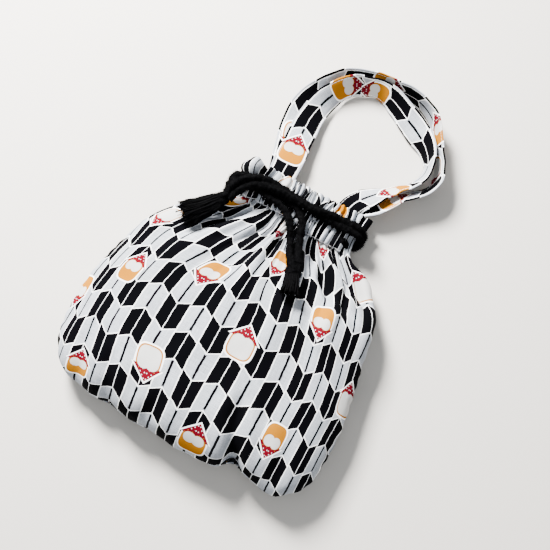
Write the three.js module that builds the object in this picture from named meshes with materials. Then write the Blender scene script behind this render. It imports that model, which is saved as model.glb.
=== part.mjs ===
// A kinchaku drawstring pouch with a two-strap handle, lying on its back on a table.
// Millimetres. +Y runs from the bottom seam to the handle, +Z is up and z = 0 is the table.
// The origin is the middle of the pouch's base, taken without the free ends of its cords.
import * as THREE from "three";

// ---- Driving sizes -------------------------------------------------------------------------
const CLOTH = 1.8; // wall of a panel: the two layers of its turned seams
const SEAM_GAP = 0.3; // left between pieces that are sewn or lie together
const BOTTOM_Y = -177.4;
const TOP_Y = 57.5; // upper edge of the gathered heading
// Heights of the side seams over the table on the belly and at the neck, which starts at y.
const BELLY_SEAM = { height: 18, narrowsFrom: -40 };
const NECK = { seam: 12.25, rise: 4.75, y: 22, squareness: 8 };
// How far each panel bulges from the side seams, how square its section is, over what length it
// curves up from the bottom seam and how squarely, and where it starts to close in on the neck.
const FRONT = { bulge: 26, squareness: 2.4, round: 48, roundness: 2.2, narrowsFrom: -58 };
const BACK = { bulge: 19.2, squareness: 3.5, round: 36, roundness: 3, narrowsFrom: -30 };

const CHANNEL = { left: -43.5, right: 48, low: 21.5, high: 40.5, depth: 7.2, wall: 1.2, hem: 1.5 };
const CORD = 4.8;
const CORD_SIDES = 8;
const STRAP_THICK = 2;

// The side seams, seen from above: height up the pouch, then where the left and the right seam lie.
const OUTLINE = [
  [BOTTOM_Y, -58, 62],
  [-174.5, -80, 88],
  [-166, -96, 107],
  [-154, -108.5, 114.5],
  [-138, -116, 117.8],
  [-112, -118.5, 118.5],
  [-76, -115, 114.5],
  [-40, -105, 107],
  [-12, -91, 98],
  [4, -76, 83],
  [12, -65.5, 70],
  [18.5, -54.5, 59],
  [23.6, -49.8, 54.8],
  [34, -49.4, 54.4],
  [TOP_Y, -49.4, 54.4],
];

// Each strap by stations: x, y, z, half its width, and its lean in degrees, outer edge up.
const FRONT_STRAP = [
  [-25, 44, 13.6, 12.4, 0], [-25.2, 57.5, 13.6, 12.4, 0], [-25.7, 70, 13, 12.4, 0],
  [-27, 84, 11.8, 12.4, 3], [-28.5, 103, 10, 12, 6], [-28.5, 121, 9.6, 11.5, 18],
  [-24.5, 139, 10.6, 11.5, 38], [-15.5, 155, 11.8, 11.5, 58],
  [-4, 163.5, 12, 11.5, 66], [9, 167.5, 11.9, 11.5, 68], [22, 166.5, 11.6, 11.5, 62],
  [37, 160, 10.4, 11.5, 44], [55, 150.5, 9.5, 11.5, 36], [68, 142, 10.8, 11.5, 52],
  [77.5, 130, 11.8, 11.5, 72], [80, 116.5, 11.9, 11.5, 72],
  [74.5, 104.5, 11.9, 11.5, 66], [63.5, 93, 12, 11.5, 56], [51, 79.5, 13, 11.5, 38],
  [43.5, 70.5, 14, 10.8, 14], [40, 64, 14.1, 9.9, 2], [38, 56, 13.6, 9.7, 0],
  [37.6, 44, 13.6, 9.7, 0],
];
const BACK_STRAP = [
  [-25, 44, 10.9, 12.4, 0], [-25.2, 57.5, 10.9, 12.4, 0], [-28, 70, 8.6, 12.4, 0],
  [-34, 88, 4.8, 12.2, 0], [-39, 108.5, 3.2, 12.2, 5], [-39.5, 124, 6.5, 12, 22],
  [-32, 144.5, 9.4, 12, 46], [-19.5, 161, 11.6, 12, 64], [-7, 169.5, 12.2, 12, 76],
  [6, 174, 12.4, 12, 82], [20, 176, 12.5, 12, 83], [34, 176.2, 12.5, 12, 83],
  [47, 174.4, 12.5, 12, 82], [58, 169.8, 12.5, 12, 82], [67, 162.2, 12.4, 12, 80],
  [74.5, 151.5, 12.3, 12, 78], [81, 139.3, 12.3, 12, 76], [88, 127.5, 12.2, 12, 74],
  [91, 114, 12, 12, 70], [85, 102.5, 11.6, 12, 62], [70.5, 90, 10.8, 12, 52],
  [55.8, 74.4, 10.4, 12, 34], [45.6, 68.3, 10.4, 11, 12], [40, 64, 10.5, 9.9, 2],
  [38, 56, 10.9, 9.7, 0], [37.6, 44, 10.9, 9.7, 0],
];

// The drawcords' free ends: out of the channel at one side, over the neck, down to a knot.
const RIGHT_CORD_UPPER = [
  [48.4, 36.4, 4.3], [50.8, 36.4, 4.4], [57.2, 38.6, 7.7], [60.4, 41.8, 15.8],
  [57.2, 44.2, 23.9], [49, 44.2, 27.4], [38, 43.4, 28], [29, 42.2, 30.6],
  [20, 40.2, 32.2], [8, 39.2, 32.6], [-6, 39.6, 32.6], [-18, 39.4, 32.6],
  [-29, 37.4, 32.7], [-39, 32.4, 32.4], [-46.5, 23.4, 30], [-50, 14.5, 27.4],
];
const RIGHT_CORD_LOWER = [
  [48.4, 31.2, 4.3], [50.8, 31.2, 4.4], [57.2, 33.2, 7.7], [60.4, 36.4, 15.8],
  [57.2, 38.8, 23.9], [49, 38.8, 27.2], [38, 38.2, 27.2], [28, 38, 27.2],
  [18, 38.8, 27.2], [6, 41, 27.2], [-8, 43, 27.2], [-20, 43.6, 28.4],
  [-31, 42.6, 32.4], [-42, 38, 33.6], [-51, 29.5, 31.5], [-55.5, 18, 27.4],
];
const LEFT_CORD_UPPER = [
  [-44.2, 31.2, 4.3], [-48, 31.2, 4.5], [-55, 32.2, 8], [-58.8, 34.6, 15.8],
  [-54.8, 37.6, 23.9], [-46.5, 39.6, 27.2], [-34, 39.4, 27.2], [-21, 37.8, 27.2],
  [-9, 37.2, 27.2], [1.5, 35.2, 27.2], [9.8, 28.8, 27.5], [14.6, 19, 27.1],
  [19.2, 7, 25.6], [23.6, -3.2, 29], [26.2, -8.4, 33.6],
];
const LEFT_CORD_LOWER = [
  [-44.2, 26, 4.3], [-48, 26, 4.5], [-55, 26.8, 8], [-58.8, 29, 15.8],
  [-54.8, 32, 23.9], [-46.5, 34, 27.2], [-34, 33.8, 27.2], [-22, 32.4, 27.2],
  [-12, 31, 27.2], [-3, 27, 27.4], [4.2, 19, 27.1], [10, 9.4, 25], [14.6, -0.2, 26.6],
  [18.2, -5.8, 30], [20.4, -9.8, 33.6],
];
// The hidden part of each cord: along the back channel, round the far side, along the front one.
const CHANNEL_BACK_Z = 4.3;
const CHANNEL_FRONT_Z = 2 * NECK.seam - CHANNEL_BACK_Z;

// Each knot and tassel: where its upper end lies and where its lower end lies.
const RIGHT_KNOT = { from: [-53.6, 14.6, 26.8], to: [-60, 4.4, 27.6] };
const RIGHT_TASSEL = { from: [-60.3, 4, 28.4], to: [-72.5, -17.5, 40] };
const LEFT_KNOT = { from: [23.6, -10.4, 35.6], to: [28.2, -20, 41] };
const LEFT_TASSEL = { from: [28.4, -20.4, 41.4], to: [34.4, -38.5, 50] };

// ---- Finishes ------------------------------------------------------------------------------
const cotton = new THREE.MeshStandardMaterial({ color: 0xdfe2e6, roughness: 0.9, metalness: 0 });
const cordYarn = new THREE.MeshStandardMaterial({ color: 0x101013, roughness: 0.95, metalness: 0 });

// ---- Helpers -------------------------------------------------------------------------------
const { lerp, smoothstep, degToRad } = THREE.MathUtils;
const vector = ([x, y, z]) => new THREE.Vector3(x, y, z);

// Joins two matching grids of points, a piece's outer and inner face, into one closed body.
// The outer face looks along (its columns' direction) x (its rows' direction).
function closedSheet(outer, inner) {
  const rows = outer.length;
  const columns = outer[0].length;
  const out = (row, column) => row * columns + column;
  const into = (row, column) => rows * columns + out(row, column);
  const faces = [];
  const quad = (a, b, c, d) => faces.push(a, b, c, a, c, d);
  for (let row = 0; row < rows - 1; row++) {
    for (let column = 0; column < columns - 1; column++) {
      const [r, c] = [row + 1, column + 1];
      quad(out(row, column), out(row, c), out(r, c), out(r, column));
      quad(into(row, column), into(r, column), into(r, c), into(row, c));
    }
    const last = columns - 1;
    quad(out(row, 0), out(row + 1, 0), into(row + 1, 0), into(row, 0));
    quad(out(row, last), into(row, last), into(row + 1, last), out(row + 1, last));
  }
  for (let column = 0; column < columns - 1; column++) {
    const last = rows - 1;
    quad(out(0, column), into(0, column), into(0, column + 1), out(0, column + 1));
    quad(out(last, column), out(last, column + 1), into(last, column + 1), into(last, column));
  }
  const geometry = new THREE.BufferGeometry().setFromPoints([...outer.flat(), ...inner.flat()]);
  geometry.setIndex(faces);
  geometry.computeVertexNormals();
  return geometry;
}

function piece(name, geometry, material) {
  const mesh = new THREE.Mesh(geometry, material);
  mesh.name = name;
  return mesh;
}

// ---- The bag's two panels ------------------------------------------------------------------
const leftSeam = new THREE.SplineCurve(OUTLINE.map(([y, left]) => new THREE.Vector2(left, y)));
const rightSeam = new THREE.SplineCurve(OUTLINE.map(([y, , right]) => new THREE.Vector2(right, y)));
const arch = (share, power) => (1 - Math.abs(share) ** power) ** (1 / power);

// One point of a panel's outer face (inset 0) or inner face (inset CLOTH).
// up runs 0 to 1 from the bottom seam to the heading, across runs -1 to 1 between the side seams.
function panelPoint(isFront, up, across, inset) {
  const shape = isFront ? FRONT : BACK;
  const left = leftSeam.getPoint(up);
  const right = rightSeam.getPoint(up);
  const y = left.y + inset * (1 - up) ** 4;
  const seam = lerp(BELLY_SEAM.height, NECK.seam, smoothstep(y, BELLY_SEAM.narrowsFrom, NECK.y));
  const rise = lerp(shape.bulge, NECK.rise, smoothstep(y, shape.narrowsFrom, NECK.y)) - inset;
  const squareness = lerp(shape.squareness, NECK.squareness, smoothstep(y, FRONT.narrowsFrom, NECK.y));
  const half = (right.x - left.x) / 2 - inset;
  const along = Math.sin((across * Math.PI) / 2);
  const fromBottom = Math.min((y - BOTTOM_Y - inset) / shape.round, 1);
  const bulge = rise * arch(along, squareness) * arch(1 - fromBottom, shape.roundness);
  const fromSeam = Math.max(bulge, SEAM_GAP / 2);
  // The table presses the back panel flat.
  const z = isFront ? seam + fromSeam : Math.max(seam - fromSeam, inset);
  return new THREE.Vector3((left.x + right.x) / 2 + half * along, y, z);
}

function panel(isFront, rows = 30, columns = 24) {
  const face = (inset) =>
    Array.from({ length: rows + 1 }, (_, row) => {
      const up = (row / rows) ** 1.35; // the rows lie closer where the bottom curves
      return Array.from({ length: columns + 1 }, (_, column) => {
        const across = (2 * column) / columns - 1;
        return panelPoint(isFront, up, isFront ? across : -across, inset);
      });
    });
  return closedSheet(face(0), face(CLOTH));
}

// ---- The cord channels ---------------------------------------------------------------------
// A strip of cloth sewn along both edges outside the neck, so that its section is a shallow U.
function channel(isFront) {
  const { low, high, depth, wall, hem, left, right } = CHANNEL;
  const section = new THREE.Shape([
    new THREE.Vector2(low, 0),
    new THREE.Vector2(high, 0),
    new THREE.Vector2(high, depth),
    new THREE.Vector2(high - hem, depth),
    new THREE.Vector2(high - hem, wall),
    new THREE.Vector2(low + hem, wall),
    new THREE.Vector2(low + hem, depth),
    new THREE.Vector2(low, depth),
  ]);
  const geometry = new THREE.ExtrudeGeometry(section, { depth: right - left, bevelEnabled: false });
  // The section's plane becomes YZ and its depth runs along X.
  geometry.applyMatrix4(new THREE.Matrix4().makeBasis(
    new THREE.Vector3(0, 1, 0), new THREE.Vector3(0, 0, 1), new THREE.Vector3(1, 0, 0)));
  const strip = new THREE.Group();
  const mesh = piece(isFront ? "front_cord_channel" : "back_cord_channel", geometry, cotton);
  mesh.position.x = left;
  if (isFront) {
    // Turned half round the pouch's long axis, so it faces up on the front of the neck.
    strip.position.set(left + right, 0, 2 * NECK.seam);
    strip.rotation.y = Math.PI;
  }
  strip.add(mesh);
  return strip;
}

// ---- The handle's straps -------------------------------------------------------------------
function strap(stations, rows = 56) {
  const route = new THREE.CatmullRomCurve3(stations.map(vector));
  const at = (share, field) => {
    const place = share * (stations.length - 1);
    const from = Math.min(Math.floor(place), stations.length - 2);
    return lerp(stations[from][field], stations[from + 1][field], place - from);
  };
  const up = new THREE.Vector3(0, 0, 1);
  const face = (side) =>
    Array.from({ length: rows + 1 }, (_, row) => {
      const share = row / rows;
      const centre = route.getPoint(share);
      const along = route.getTangent(share);
      const level = up.clone().cross(along).normalize();
      const outward = level.applyAxisAngle(along, degToRad(at(share, 4)));
      const normal = along.clone().cross(outward).normalize();
      return [1, 0, -1].map((edge) => centre.clone()
        .addScaledVector(outward, edge * at(share, 3))
        .addScaledVector(normal, (side * STRAP_THICK) / 2));
    });
  return closedSheet(face(1), face(-1));
}

// ---- Cords, knots and tassels --------------------------------------------------------------
function cordTube(points) {
  const route = new THREE.CatmullRomCurve3(points.map(vector));
  const section = new THREE.Shape(Array.from({ length: CORD_SIDES }, (_, side) => {
    const angle = (2 * Math.PI * side) / CORD_SIDES;
    return new THREE.Vector2(Math.cos(angle), Math.sin(angle)).multiplyScalar(CORD / 2);
  }));
  const steps = Math.ceil(route.getLength() / (2.1 * CORD));
  return new THREE.ExtrudeGeometry(section, { steps, extrudePath: route });
}

// Along the back channel from one side, round the neck's other side, and back along the front.
function channelRun(isRightCord) {
  const side = isRightCord ? 1 : -1;
  const y = isRightCord ? 36.4 : 26;
  const start = isRightCord ? CHANNEL.right : CHANNEL.left;
  const turn = isRightCord ? -46 : 51.2;
  const radius = (CHANNEL_FRONT_Z - CHANNEL_BACK_Z) / 2;
  const lift = radius * Math.SQRT1_2;
  return cordTube([
    [start, y, CHANNEL_BACK_Z],
    [(start + turn) / 2, y, CHANNEL_BACK_Z],
    [turn, y, CHANNEL_BACK_Z],
    [turn - side * lift, y, NECK.seam - lift],
    [turn - side * radius, y, NECK.seam],
    [turn - side * lift, y, NECK.seam + lift],
    [turn, y, CHANNEL_FRONT_Z],
    [(start + turn) / 2, y, CHANNEL_FRONT_Z],
    [start - side * 2, y, CHANNEL_FRONT_Z],
  ]);
}

// A turned solid between two points. The profile gives [radius, share of the length] pairs.
function turned(name, { from, to }, profile) {
  const [start, end] = [vector(from), vector(to)];
  const length = start.distanceTo(end);
  const points = profile.map(([radius, share]) => new THREE.Vector2(radius, share * length));
  const mesh = piece(name, new THREE.LatheGeometry(points, 12), cordYarn);
  mesh.position.copy(start);
  mesh.quaternion.setFromUnitVectors(new THREE.Vector3(0, 1, 0), end.sub(start).normalize());
  return mesh;
}
const KNOT_PROFILE = [[0, 0.03], [4.4, 0.03], [6.3, 0.3], [6.6, 0.5], [6.1, 0.75], [4.2, 0.97], [0, 0.97]];
const TASSEL_PROFILE = [[0, 0.02], [4.4, 0.02], [5.4, 0.2], [6.6, 0.6], [7.2, 1], [0, 1]];

// ---- The pouch -----------------------------------------------------------------------------
const bag = new THREE.Group();
bag.add(
  piece("front_panel", panel(true), cotton),
  piece("back_panel", panel(false), cotton),
  channel(true),
  channel(false),
);

const handle = new THREE.Group();
handle.add(
  piece("front_handle_strap", strap(FRONT_STRAP), cotton),
  piece("back_handle_strap", strap(BACK_STRAP), cotton),
);

const rightCord = new THREE.Group();
rightCord.add(
  piece("right_cord_in_channel", channelRun(true), cordYarn),
  piece("right_cord_upper_strand", cordTube(RIGHT_CORD_UPPER), cordYarn),
  piece("right_cord_lower_strand", cordTube(RIGHT_CORD_LOWER), cordYarn),
  turned("right_cord_knot", RIGHT_KNOT, KNOT_PROFILE),
  turned("right_cord_tassel", RIGHT_TASSEL, TASSEL_PROFILE),
);

const leftCord = new THREE.Group();
leftCord.add(
  piece("left_cord_in_channel", channelRun(false), cordYarn),
  piece("left_cord_upper_strand", cordTube(LEFT_CORD_UPPER), cordYarn),
  piece("left_cord_lower_strand", cordTube(LEFT_CORD_LOWER), cordYarn),
  turned("left_cord_knot", LEFT_KNOT, KNOT_PROFILE),
  turned("left_cord_tassel", LEFT_TASSEL, TASSEL_PROFILE),
);

const pouch = new THREE.Group();
pouch.add(bag, handle, rightCord, leftCord);
export default pouch;
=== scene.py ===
"""Looks of a kinchaku drawstring pouch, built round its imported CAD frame.

The pouch lies on its back: +Y runs from the bottom seam to the handle and +Z is up.
Shapes are worked out in millimetres and turned into metres when a mesh is made.
"""

from __future__ import annotations

import logging
import math
from dataclasses import dataclass, field
from enum import Enum
from typing import Callable, Sequence

import bpy
import numpy as np
from mathutils import Matrix

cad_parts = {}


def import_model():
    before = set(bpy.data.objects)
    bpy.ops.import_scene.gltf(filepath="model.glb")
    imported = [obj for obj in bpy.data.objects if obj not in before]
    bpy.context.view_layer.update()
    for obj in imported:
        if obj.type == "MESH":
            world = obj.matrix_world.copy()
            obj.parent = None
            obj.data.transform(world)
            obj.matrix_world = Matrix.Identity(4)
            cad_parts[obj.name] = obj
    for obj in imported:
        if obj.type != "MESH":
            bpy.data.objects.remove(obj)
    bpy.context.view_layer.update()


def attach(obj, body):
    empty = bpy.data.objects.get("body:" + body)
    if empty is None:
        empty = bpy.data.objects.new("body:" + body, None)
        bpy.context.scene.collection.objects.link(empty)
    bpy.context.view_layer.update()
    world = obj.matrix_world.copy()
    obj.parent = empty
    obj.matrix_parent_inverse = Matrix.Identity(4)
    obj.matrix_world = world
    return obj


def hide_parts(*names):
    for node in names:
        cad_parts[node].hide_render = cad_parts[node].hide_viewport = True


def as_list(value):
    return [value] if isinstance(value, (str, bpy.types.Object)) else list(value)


logging.basicConfig(level=logging.INFO, format="%(message)s")
log = logging.getLogger("pouch")

MM = 0.001
CLOTH_SLOT = "printed_cotton"
CORD_SLOT = "black_cord"
FOLD_SEED = 23
NO_PATCH = 900.0
STRAND_RINGS = 260
CORD_RADIUS = 2.4
HIDDEN_RINGS = 220


# ---- Small geometry tools ------------------------------------------------------------------
def smoothstep(value: np.ndarray, low: float, high: float) -> np.ndarray:
    """Eases from 0 at low to 1 at high."""
    share = np.clip((np.asarray(value, float) - low) / (high - low), 0.0, 1.0)
    return share * share * (3.0 - 2.0 * share)


def unit(vectors: np.ndarray) -> np.ndarray:
    """Scales vectors to length one along the last axis."""
    return vectors / np.maximum(np.linalg.norm(vectors, axis=-1, keepdims=True), 1e-9)


def spline(points: Sequence[Sequence[float]], count: int) -> np.ndarray:
    """Runs a smooth curve through points and spaces it evenly along the first three columns.

    Args:
        points: The stations, each x, y, z and any further values.
        count: How many points the result has.

    Returns:
        An array of count rows with the stations' columns.
    """
    knots = np.asarray(points, float)
    ends = [2 * knots[0] - knots[1]], [2 * knots[-1] - knots[-2]]
    padded = np.concatenate([ends[0], knots, ends[1]])
    t = np.linspace(0, len(knots) - 1, 24 * len(knots))
    i = np.minimum(t.astype(int), len(knots) - 2)
    f = (t - i)[:, None]
    p0, p1, p2, p3 = (padded[i + k] for k in range(4))
    fine = 0.5 * (
        2 * p1 + (p2 - p0) * f + (2 * p0 - 5 * p1 + 4 * p2 - p3) * f**2
        + (3 * p1 - p0 - 3 * p2 + p3) * f**3
    )
    run = np.concatenate([[0], np.cumsum(np.linalg.norm(np.diff(fine[:, :3], axis=0), axis=1))])
    even = np.linspace(0, run[-1], count)
    return np.stack([np.interp(even, run, fine[:, k]) for k in range(fine.shape[1])], axis=1)


def run_length(line: np.ndarray) -> np.ndarray:
    """Distance along a line up to each of its points."""
    steps = np.linalg.norm(np.diff(line, axis=0), axis=1)
    return np.concatenate([[0.0], np.cumsum(steps)])


def grid_normals(grid: np.ndarray) -> np.ndarray:
    """Unit normals of a grid of points, along (columns' direction) x (rows' direction)."""
    return unit(np.cross(np.gradient(grid, axis=1), np.gradient(grid, axis=0)))


def soft_noise(x: np.ndarray, y: np.ndarray, size: float, seed: int) -> np.ndarray:
    """A smooth random field from a dozen crossing waves.

    Args:
        x: First coordinate, mm.
        y: Second coordinate, mm.
        size: Usual distance between two crests, mm.
        seed: Seed of the waves.

    Returns:
        Values of about -1 to 1.
    """
    rng = np.random.default_rng(seed)
    total = np.zeros(np.broadcast(x, y).shape)
    for _ in range(12):
        angle, phase = rng.uniform(0, 2 * math.pi, 2)
        wave = 2 * math.pi / (size * rng.uniform(0.7, 1.6))
        total += np.sin(wave * (x * math.cos(angle) + y * math.sin(angle)) + phase)
    return total / 4.0


# ---- Meshes --------------------------------------------------------------------------------
@dataclass
class Surface:
    """Points and faces of one piece, with what its finish needs at every point.

    Attributes:
        points: Vertex places, mm.
        faces: Four vertex numbers a face; the last is -1 for a triangle.
        cloth: Place on the flat cloth, or along and round a cord, in metres.
        stitch: Distance from the nearest row of stitches and distance along it, mm.
    """

    points: np.ndarray
    faces: np.ndarray
    cloth: np.ndarray
    stitch: np.ndarray | None = None

    def build(self, name: str, finish: bpy.types.Material,
              motifs: MotifMap | None = None) -> bpy.types.Object:
        """Makes the Blender mesh object.

        Args:
            name: Name of the object and its mesh.
            finish: Material of the whole piece.
            motifs: Printed patches that this piece of cloth carries.

        Returns:
            The new object, linked to the scene.
        """
        mesh = bpy.data.meshes.new(name)
        sizes = np.where(self.faces[:, 3] < 0, 3, 4)
        corners = self.faces[self.faces >= 0]
        mesh.vertices.add(len(self.points))
        mesh.vertices.foreach_set("co", (self.points * MM).astype(np.float32).ravel())
        mesh.loops.add(len(corners))
        mesh.loops.foreach_set("vertex_index", corners.astype(np.int32))
        mesh.polygons.add(len(self.faces))
        starts = np.concatenate([[0], np.cumsum(sizes)[:-1]]).astype(np.int32)
        mesh.polygons.foreach_set("loop_start", starts)
        mesh.polygons.foreach_set("use_smooth", np.ones(len(self.faces), bool))
        mesh.update(calc_edges=True)
        uv = mesh.uv_layers.new(name="cloth")
        uv.data.foreach_set("uv", self.cloth[corners].astype(np.float32).ravel())
        if self.stitch is not None:
            rows = np.concatenate([self.stitch, np.zeros((len(self.stitch), 1))], axis=1)
            store = mesh.attributes.new("stitch", "FLOAT_VECTOR", "POINT")
            store.data.foreach_set("vector", rows.astype(np.float32).ravel())
        if motifs is not None:
            store = mesh.attributes.new("motif", "FLOAT_VECTOR", "CORNER")
            local = motifs.corner_places(self.cloth / MM, corners, sizes)
            store.data.foreach_set("vector", local.astype(np.float32).ravel())
        mesh.materials.append(finish)
        obj = bpy.data.objects.new(name, mesh)
        bpy.context.scene.collection.objects.link(obj)
        log.info("built %s: %d faces", name, len(self.faces))
        return obj


def closed_sheet(outer: np.ndarray, inner: np.ndarray, cloth: np.ndarray,
                 stitch: np.ndarray | None = None) -> Surface:
    """Joins the two faces of a piece of cloth into one closed surface.

    Args:
        outer: Grid of rows by columns by three, mm.
        inner: The matching grid of the other face.
        cloth: Grid of rows by columns by two, the place on the flat cloth, metres.
        stitch: Grid of rows by columns by two for the stitches, or None.

    Returns:
        The closed surface.
    """
    rows, columns = outer.shape[:2]
    index = np.arange(rows * columns).reshape(rows, columns)
    shift = rows * columns
    a, b, c, d = index[:-1, :-1], index[:-1, 1:], index[1:, 1:], index[1:, :-1]
    face = np.stack([a, b, c, d], -1).reshape(-1, 4)
    back = np.stack([a, d, c, b], -1).reshape(-1, 4) + shift

    def wall(edge: np.ndarray) -> np.ndarray:
        """Faces between an edge of the outer face and the same edge of the inner one."""
        return np.stack([edge[1:], edge[:-1], edge[:-1] + shift, edge[1:] + shift], -1)

    walls = [wall(index[0]), wall(index[-1][::-1]), wall(index[:, 0][::-1]), wall(index[:, -1])]
    twice = [np.concatenate([g.reshape(-1, 2)] * 2) for g in (cloth, stitch) if g is not None]
    return Surface(
        np.concatenate([outer.reshape(-1, 3), inner.reshape(-1, 3)]),
        np.concatenate([face, back, *walls]),
        twice[0],
        twice[1] if len(twice) > 1 else None,
    )


def frames_along(line: np.ndarray) -> tuple[np.ndarray, np.ndarray, np.ndarray]:
    """Directions that follow a line without twisting.

    Args:
        line: Points of the line, mm.

    Returns:
        Unit vectors along the line and two sets across it, one of each a point.
    """
    along = unit(np.gradient(line, axis=0))
    side = np.zeros_like(line)
    first = np.cross(along[0], [0.0, 0.0, 1.0])
    side[0] = unit(first if np.linalg.norm(first) > 0.1 else np.array([1.0, 0.0, 0.0]))
    for i in range(1, len(line)):
        side[i] = unit(side[i - 1] - along[i] * (side[i - 1] @ along[i]))
    return along, side, np.cross(along, side)


def tube(line: np.ndarray, radius: np.ndarray | float, sides: int,
         relief: Callable[[np.ndarray, np.ndarray], np.ndarray] | None = None) -> Surface:
    """A closed tube round a line, with both ends capped.

    Args:
        line: Ring centres, mm.
        radius: Radius, or one for each ring, mm.
        sides: Corners of each ring.
        relief: Height over the radius from the distance along, mm, and the angle round.

    Returns:
        The tube's surface.
    """
    _, side, up = frames_along(line)
    angle = np.linspace(0, 2 * math.pi, sides, endpoint=False)[None, :]
    run = run_length(line)[:, None]
    r = np.broadcast_to(np.asarray(radius, float).reshape(-1, 1), (len(line), 1)) + 0 * angle
    if relief is not None:
        r = r + relief(run, angle)
    ring = line[:, None] + r[..., None] * (
        np.cos(angle)[..., None] * side[:, None] + np.sin(angle)[..., None] * up[:, None])
    index = np.arange(ring.shape[0] * sides).reshape(-1, sides)
    turn = np.roll(index, -1, axis=1)
    faces = np.stack([index[:-1], turn[:-1], turn[1:], index[1:]], -1).reshape(-1, 4)
    last = ring.shape[0] * sides
    none = np.full(sides, -1)
    caps = [np.stack([turn[0], index[0], np.full(sides, last), none], -1),
            np.stack([index[-1], turn[-1], np.full(sides, last + 1), none], -1)]
    cloth = np.stack(np.broadcast_arrays(run * MM, angle * CORD_RADIUS * MM), -1).reshape(-1, 2)
    return Surface(
        np.concatenate([ring.reshape(-1, 3), line[:1], line[-1:]]),
        np.concatenate([faces, *caps]),
        np.concatenate([cloth, [[0, 0], [run[-1, 0] * MM, 0]]]),
    )


def joined(parts: Sequence[Surface]) -> Surface:
    """Puts several surfaces into one.

    Args:
        parts: The surfaces, none of them with stitches.

    Returns:
        One surface with the points and faces of all.
    """
    starts = np.cumsum([0] + [len(p.points) for p in parts[:-1]])
    faces = [np.where(p.faces < 0, -1, p.faces + s) for p, s in zip(parts, starts)]
    return Surface(np.concatenate([p.points for p in parts]), np.concatenate(faces),
                   np.concatenate([p.cloth for p in parts]))


# ---- The printed cloth ---------------------------------------------------------------------
@dataclass(frozen=True)
class Print:
    """Sizes of the arrow-feather print, mm.

    Attributes:
        pitch: Distance between two shafts.
        period: Length of one dark and one pale feather together.
        slope: Rise of a feather's barbs over their run.
        gap: Half the white gap between two columns.
        outline: Half the white line between two feathers of a column.
        shaft: Half the width of the white shaft in a dark feather.
        thin_shaft: Half the width of the dark shaft in a pale feather.
        shaft_inset: How far the dark shaft stops short of a pale feather's ends.
        start: How far under the cloth's zero a dark feather's middle lies, in even columns.
        stagger: How much lower the odd columns' dark feathers lie.
        bright: Width of the bright ground beside the white lines.
    """

    pitch: float = 19.6
    period: float = 47.0
    slope: float = 0.556
    gap: float = 0.2
    outline: float = 0.2
    shaft: float = 0.28
    thin_shaft: float = 1.05
    shaft_inset: float = 1.2
    start: float = 94.5
    stagger: float = 15.0
    bright: float = 0.35


@dataclass(frozen=True)
class Motif:
    """One printed patch.

    Attributes:
        u: Place across the cloth, mm.
        v: Place up the cloth, mm.
        turn: Turn from upright, degrees.
        pale: Whether its field is pale and not ochre.
    """

    u: float
    v: float
    turn: float = 0.0
    pale: bool = False


@dataclass
class MotifMap:
    """The patches that one piece of cloth carries.

    Attributes:
        motifs: The patches.
    """

    motifs: Sequence[Motif]

    def corner_places(self, cloth: np.ndarray, corners: np.ndarray,
                      sizes: np.ndarray) -> np.ndarray:
        """Each face corner's place within the patch nearest to its face.

        Args:
            cloth: Every vertex's place on the cloth, mm.
            corners: Vertex number of every face corner.
            sizes: Number of corners of every face.

        Returns:
            One row a corner: across and up in the patch, mm, and 1 for a pale patch.
        """
        if not self.motifs:
            return np.full((len(corners), 3), NO_PATCH)
        centre = np.array([[m.u, m.v] for m in self.motifs])
        turn = np.radians([m.turn for m in self.motifs])
        pale = np.array([float(m.pale) for m in self.motifs])
        first = np.concatenate([[0], np.cumsum(sizes)[:-1]])
        middle = np.add.reduceat(cloth[corners], first) / sizes[:, None]
        nearest = np.linalg.norm(middle[:, None] - centre[None], axis=2).argmin(1)
        pick = np.repeat(nearest, sizes)
        d = cloth[corners] - centre[pick]
        c, s = np.cos(turn[pick]), np.sin(turn[pick])
        return np.stack([c * d[:, 0] + s * d[:, 1], c * d[:, 1] - s * d[:, 0], pale[pick]], 1)


# ---- The bag's shape -----------------------------------------------------------------------
class Side(Enum):
    """Which panel of the bag."""

    FRONT = "front"
    BACK = "back"


@dataclass(frozen=True)
class Bulge:
    """How one panel stands off the plane of the side seams, mm.

    Attributes:
        rise: Height of the belly over the seams.
        squareness: Power of the belly's section; 2 is round and more is squarer.
        round_over: Length over which the panel rises from the bottom seam.
        roundness: Power of that rise.
        narrows_from: Height up the pouch where the rise begins to fall to the neck's.
    """

    rise: float
    squareness: float
    round_over: float
    roundness: float
    narrows_from: float


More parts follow.
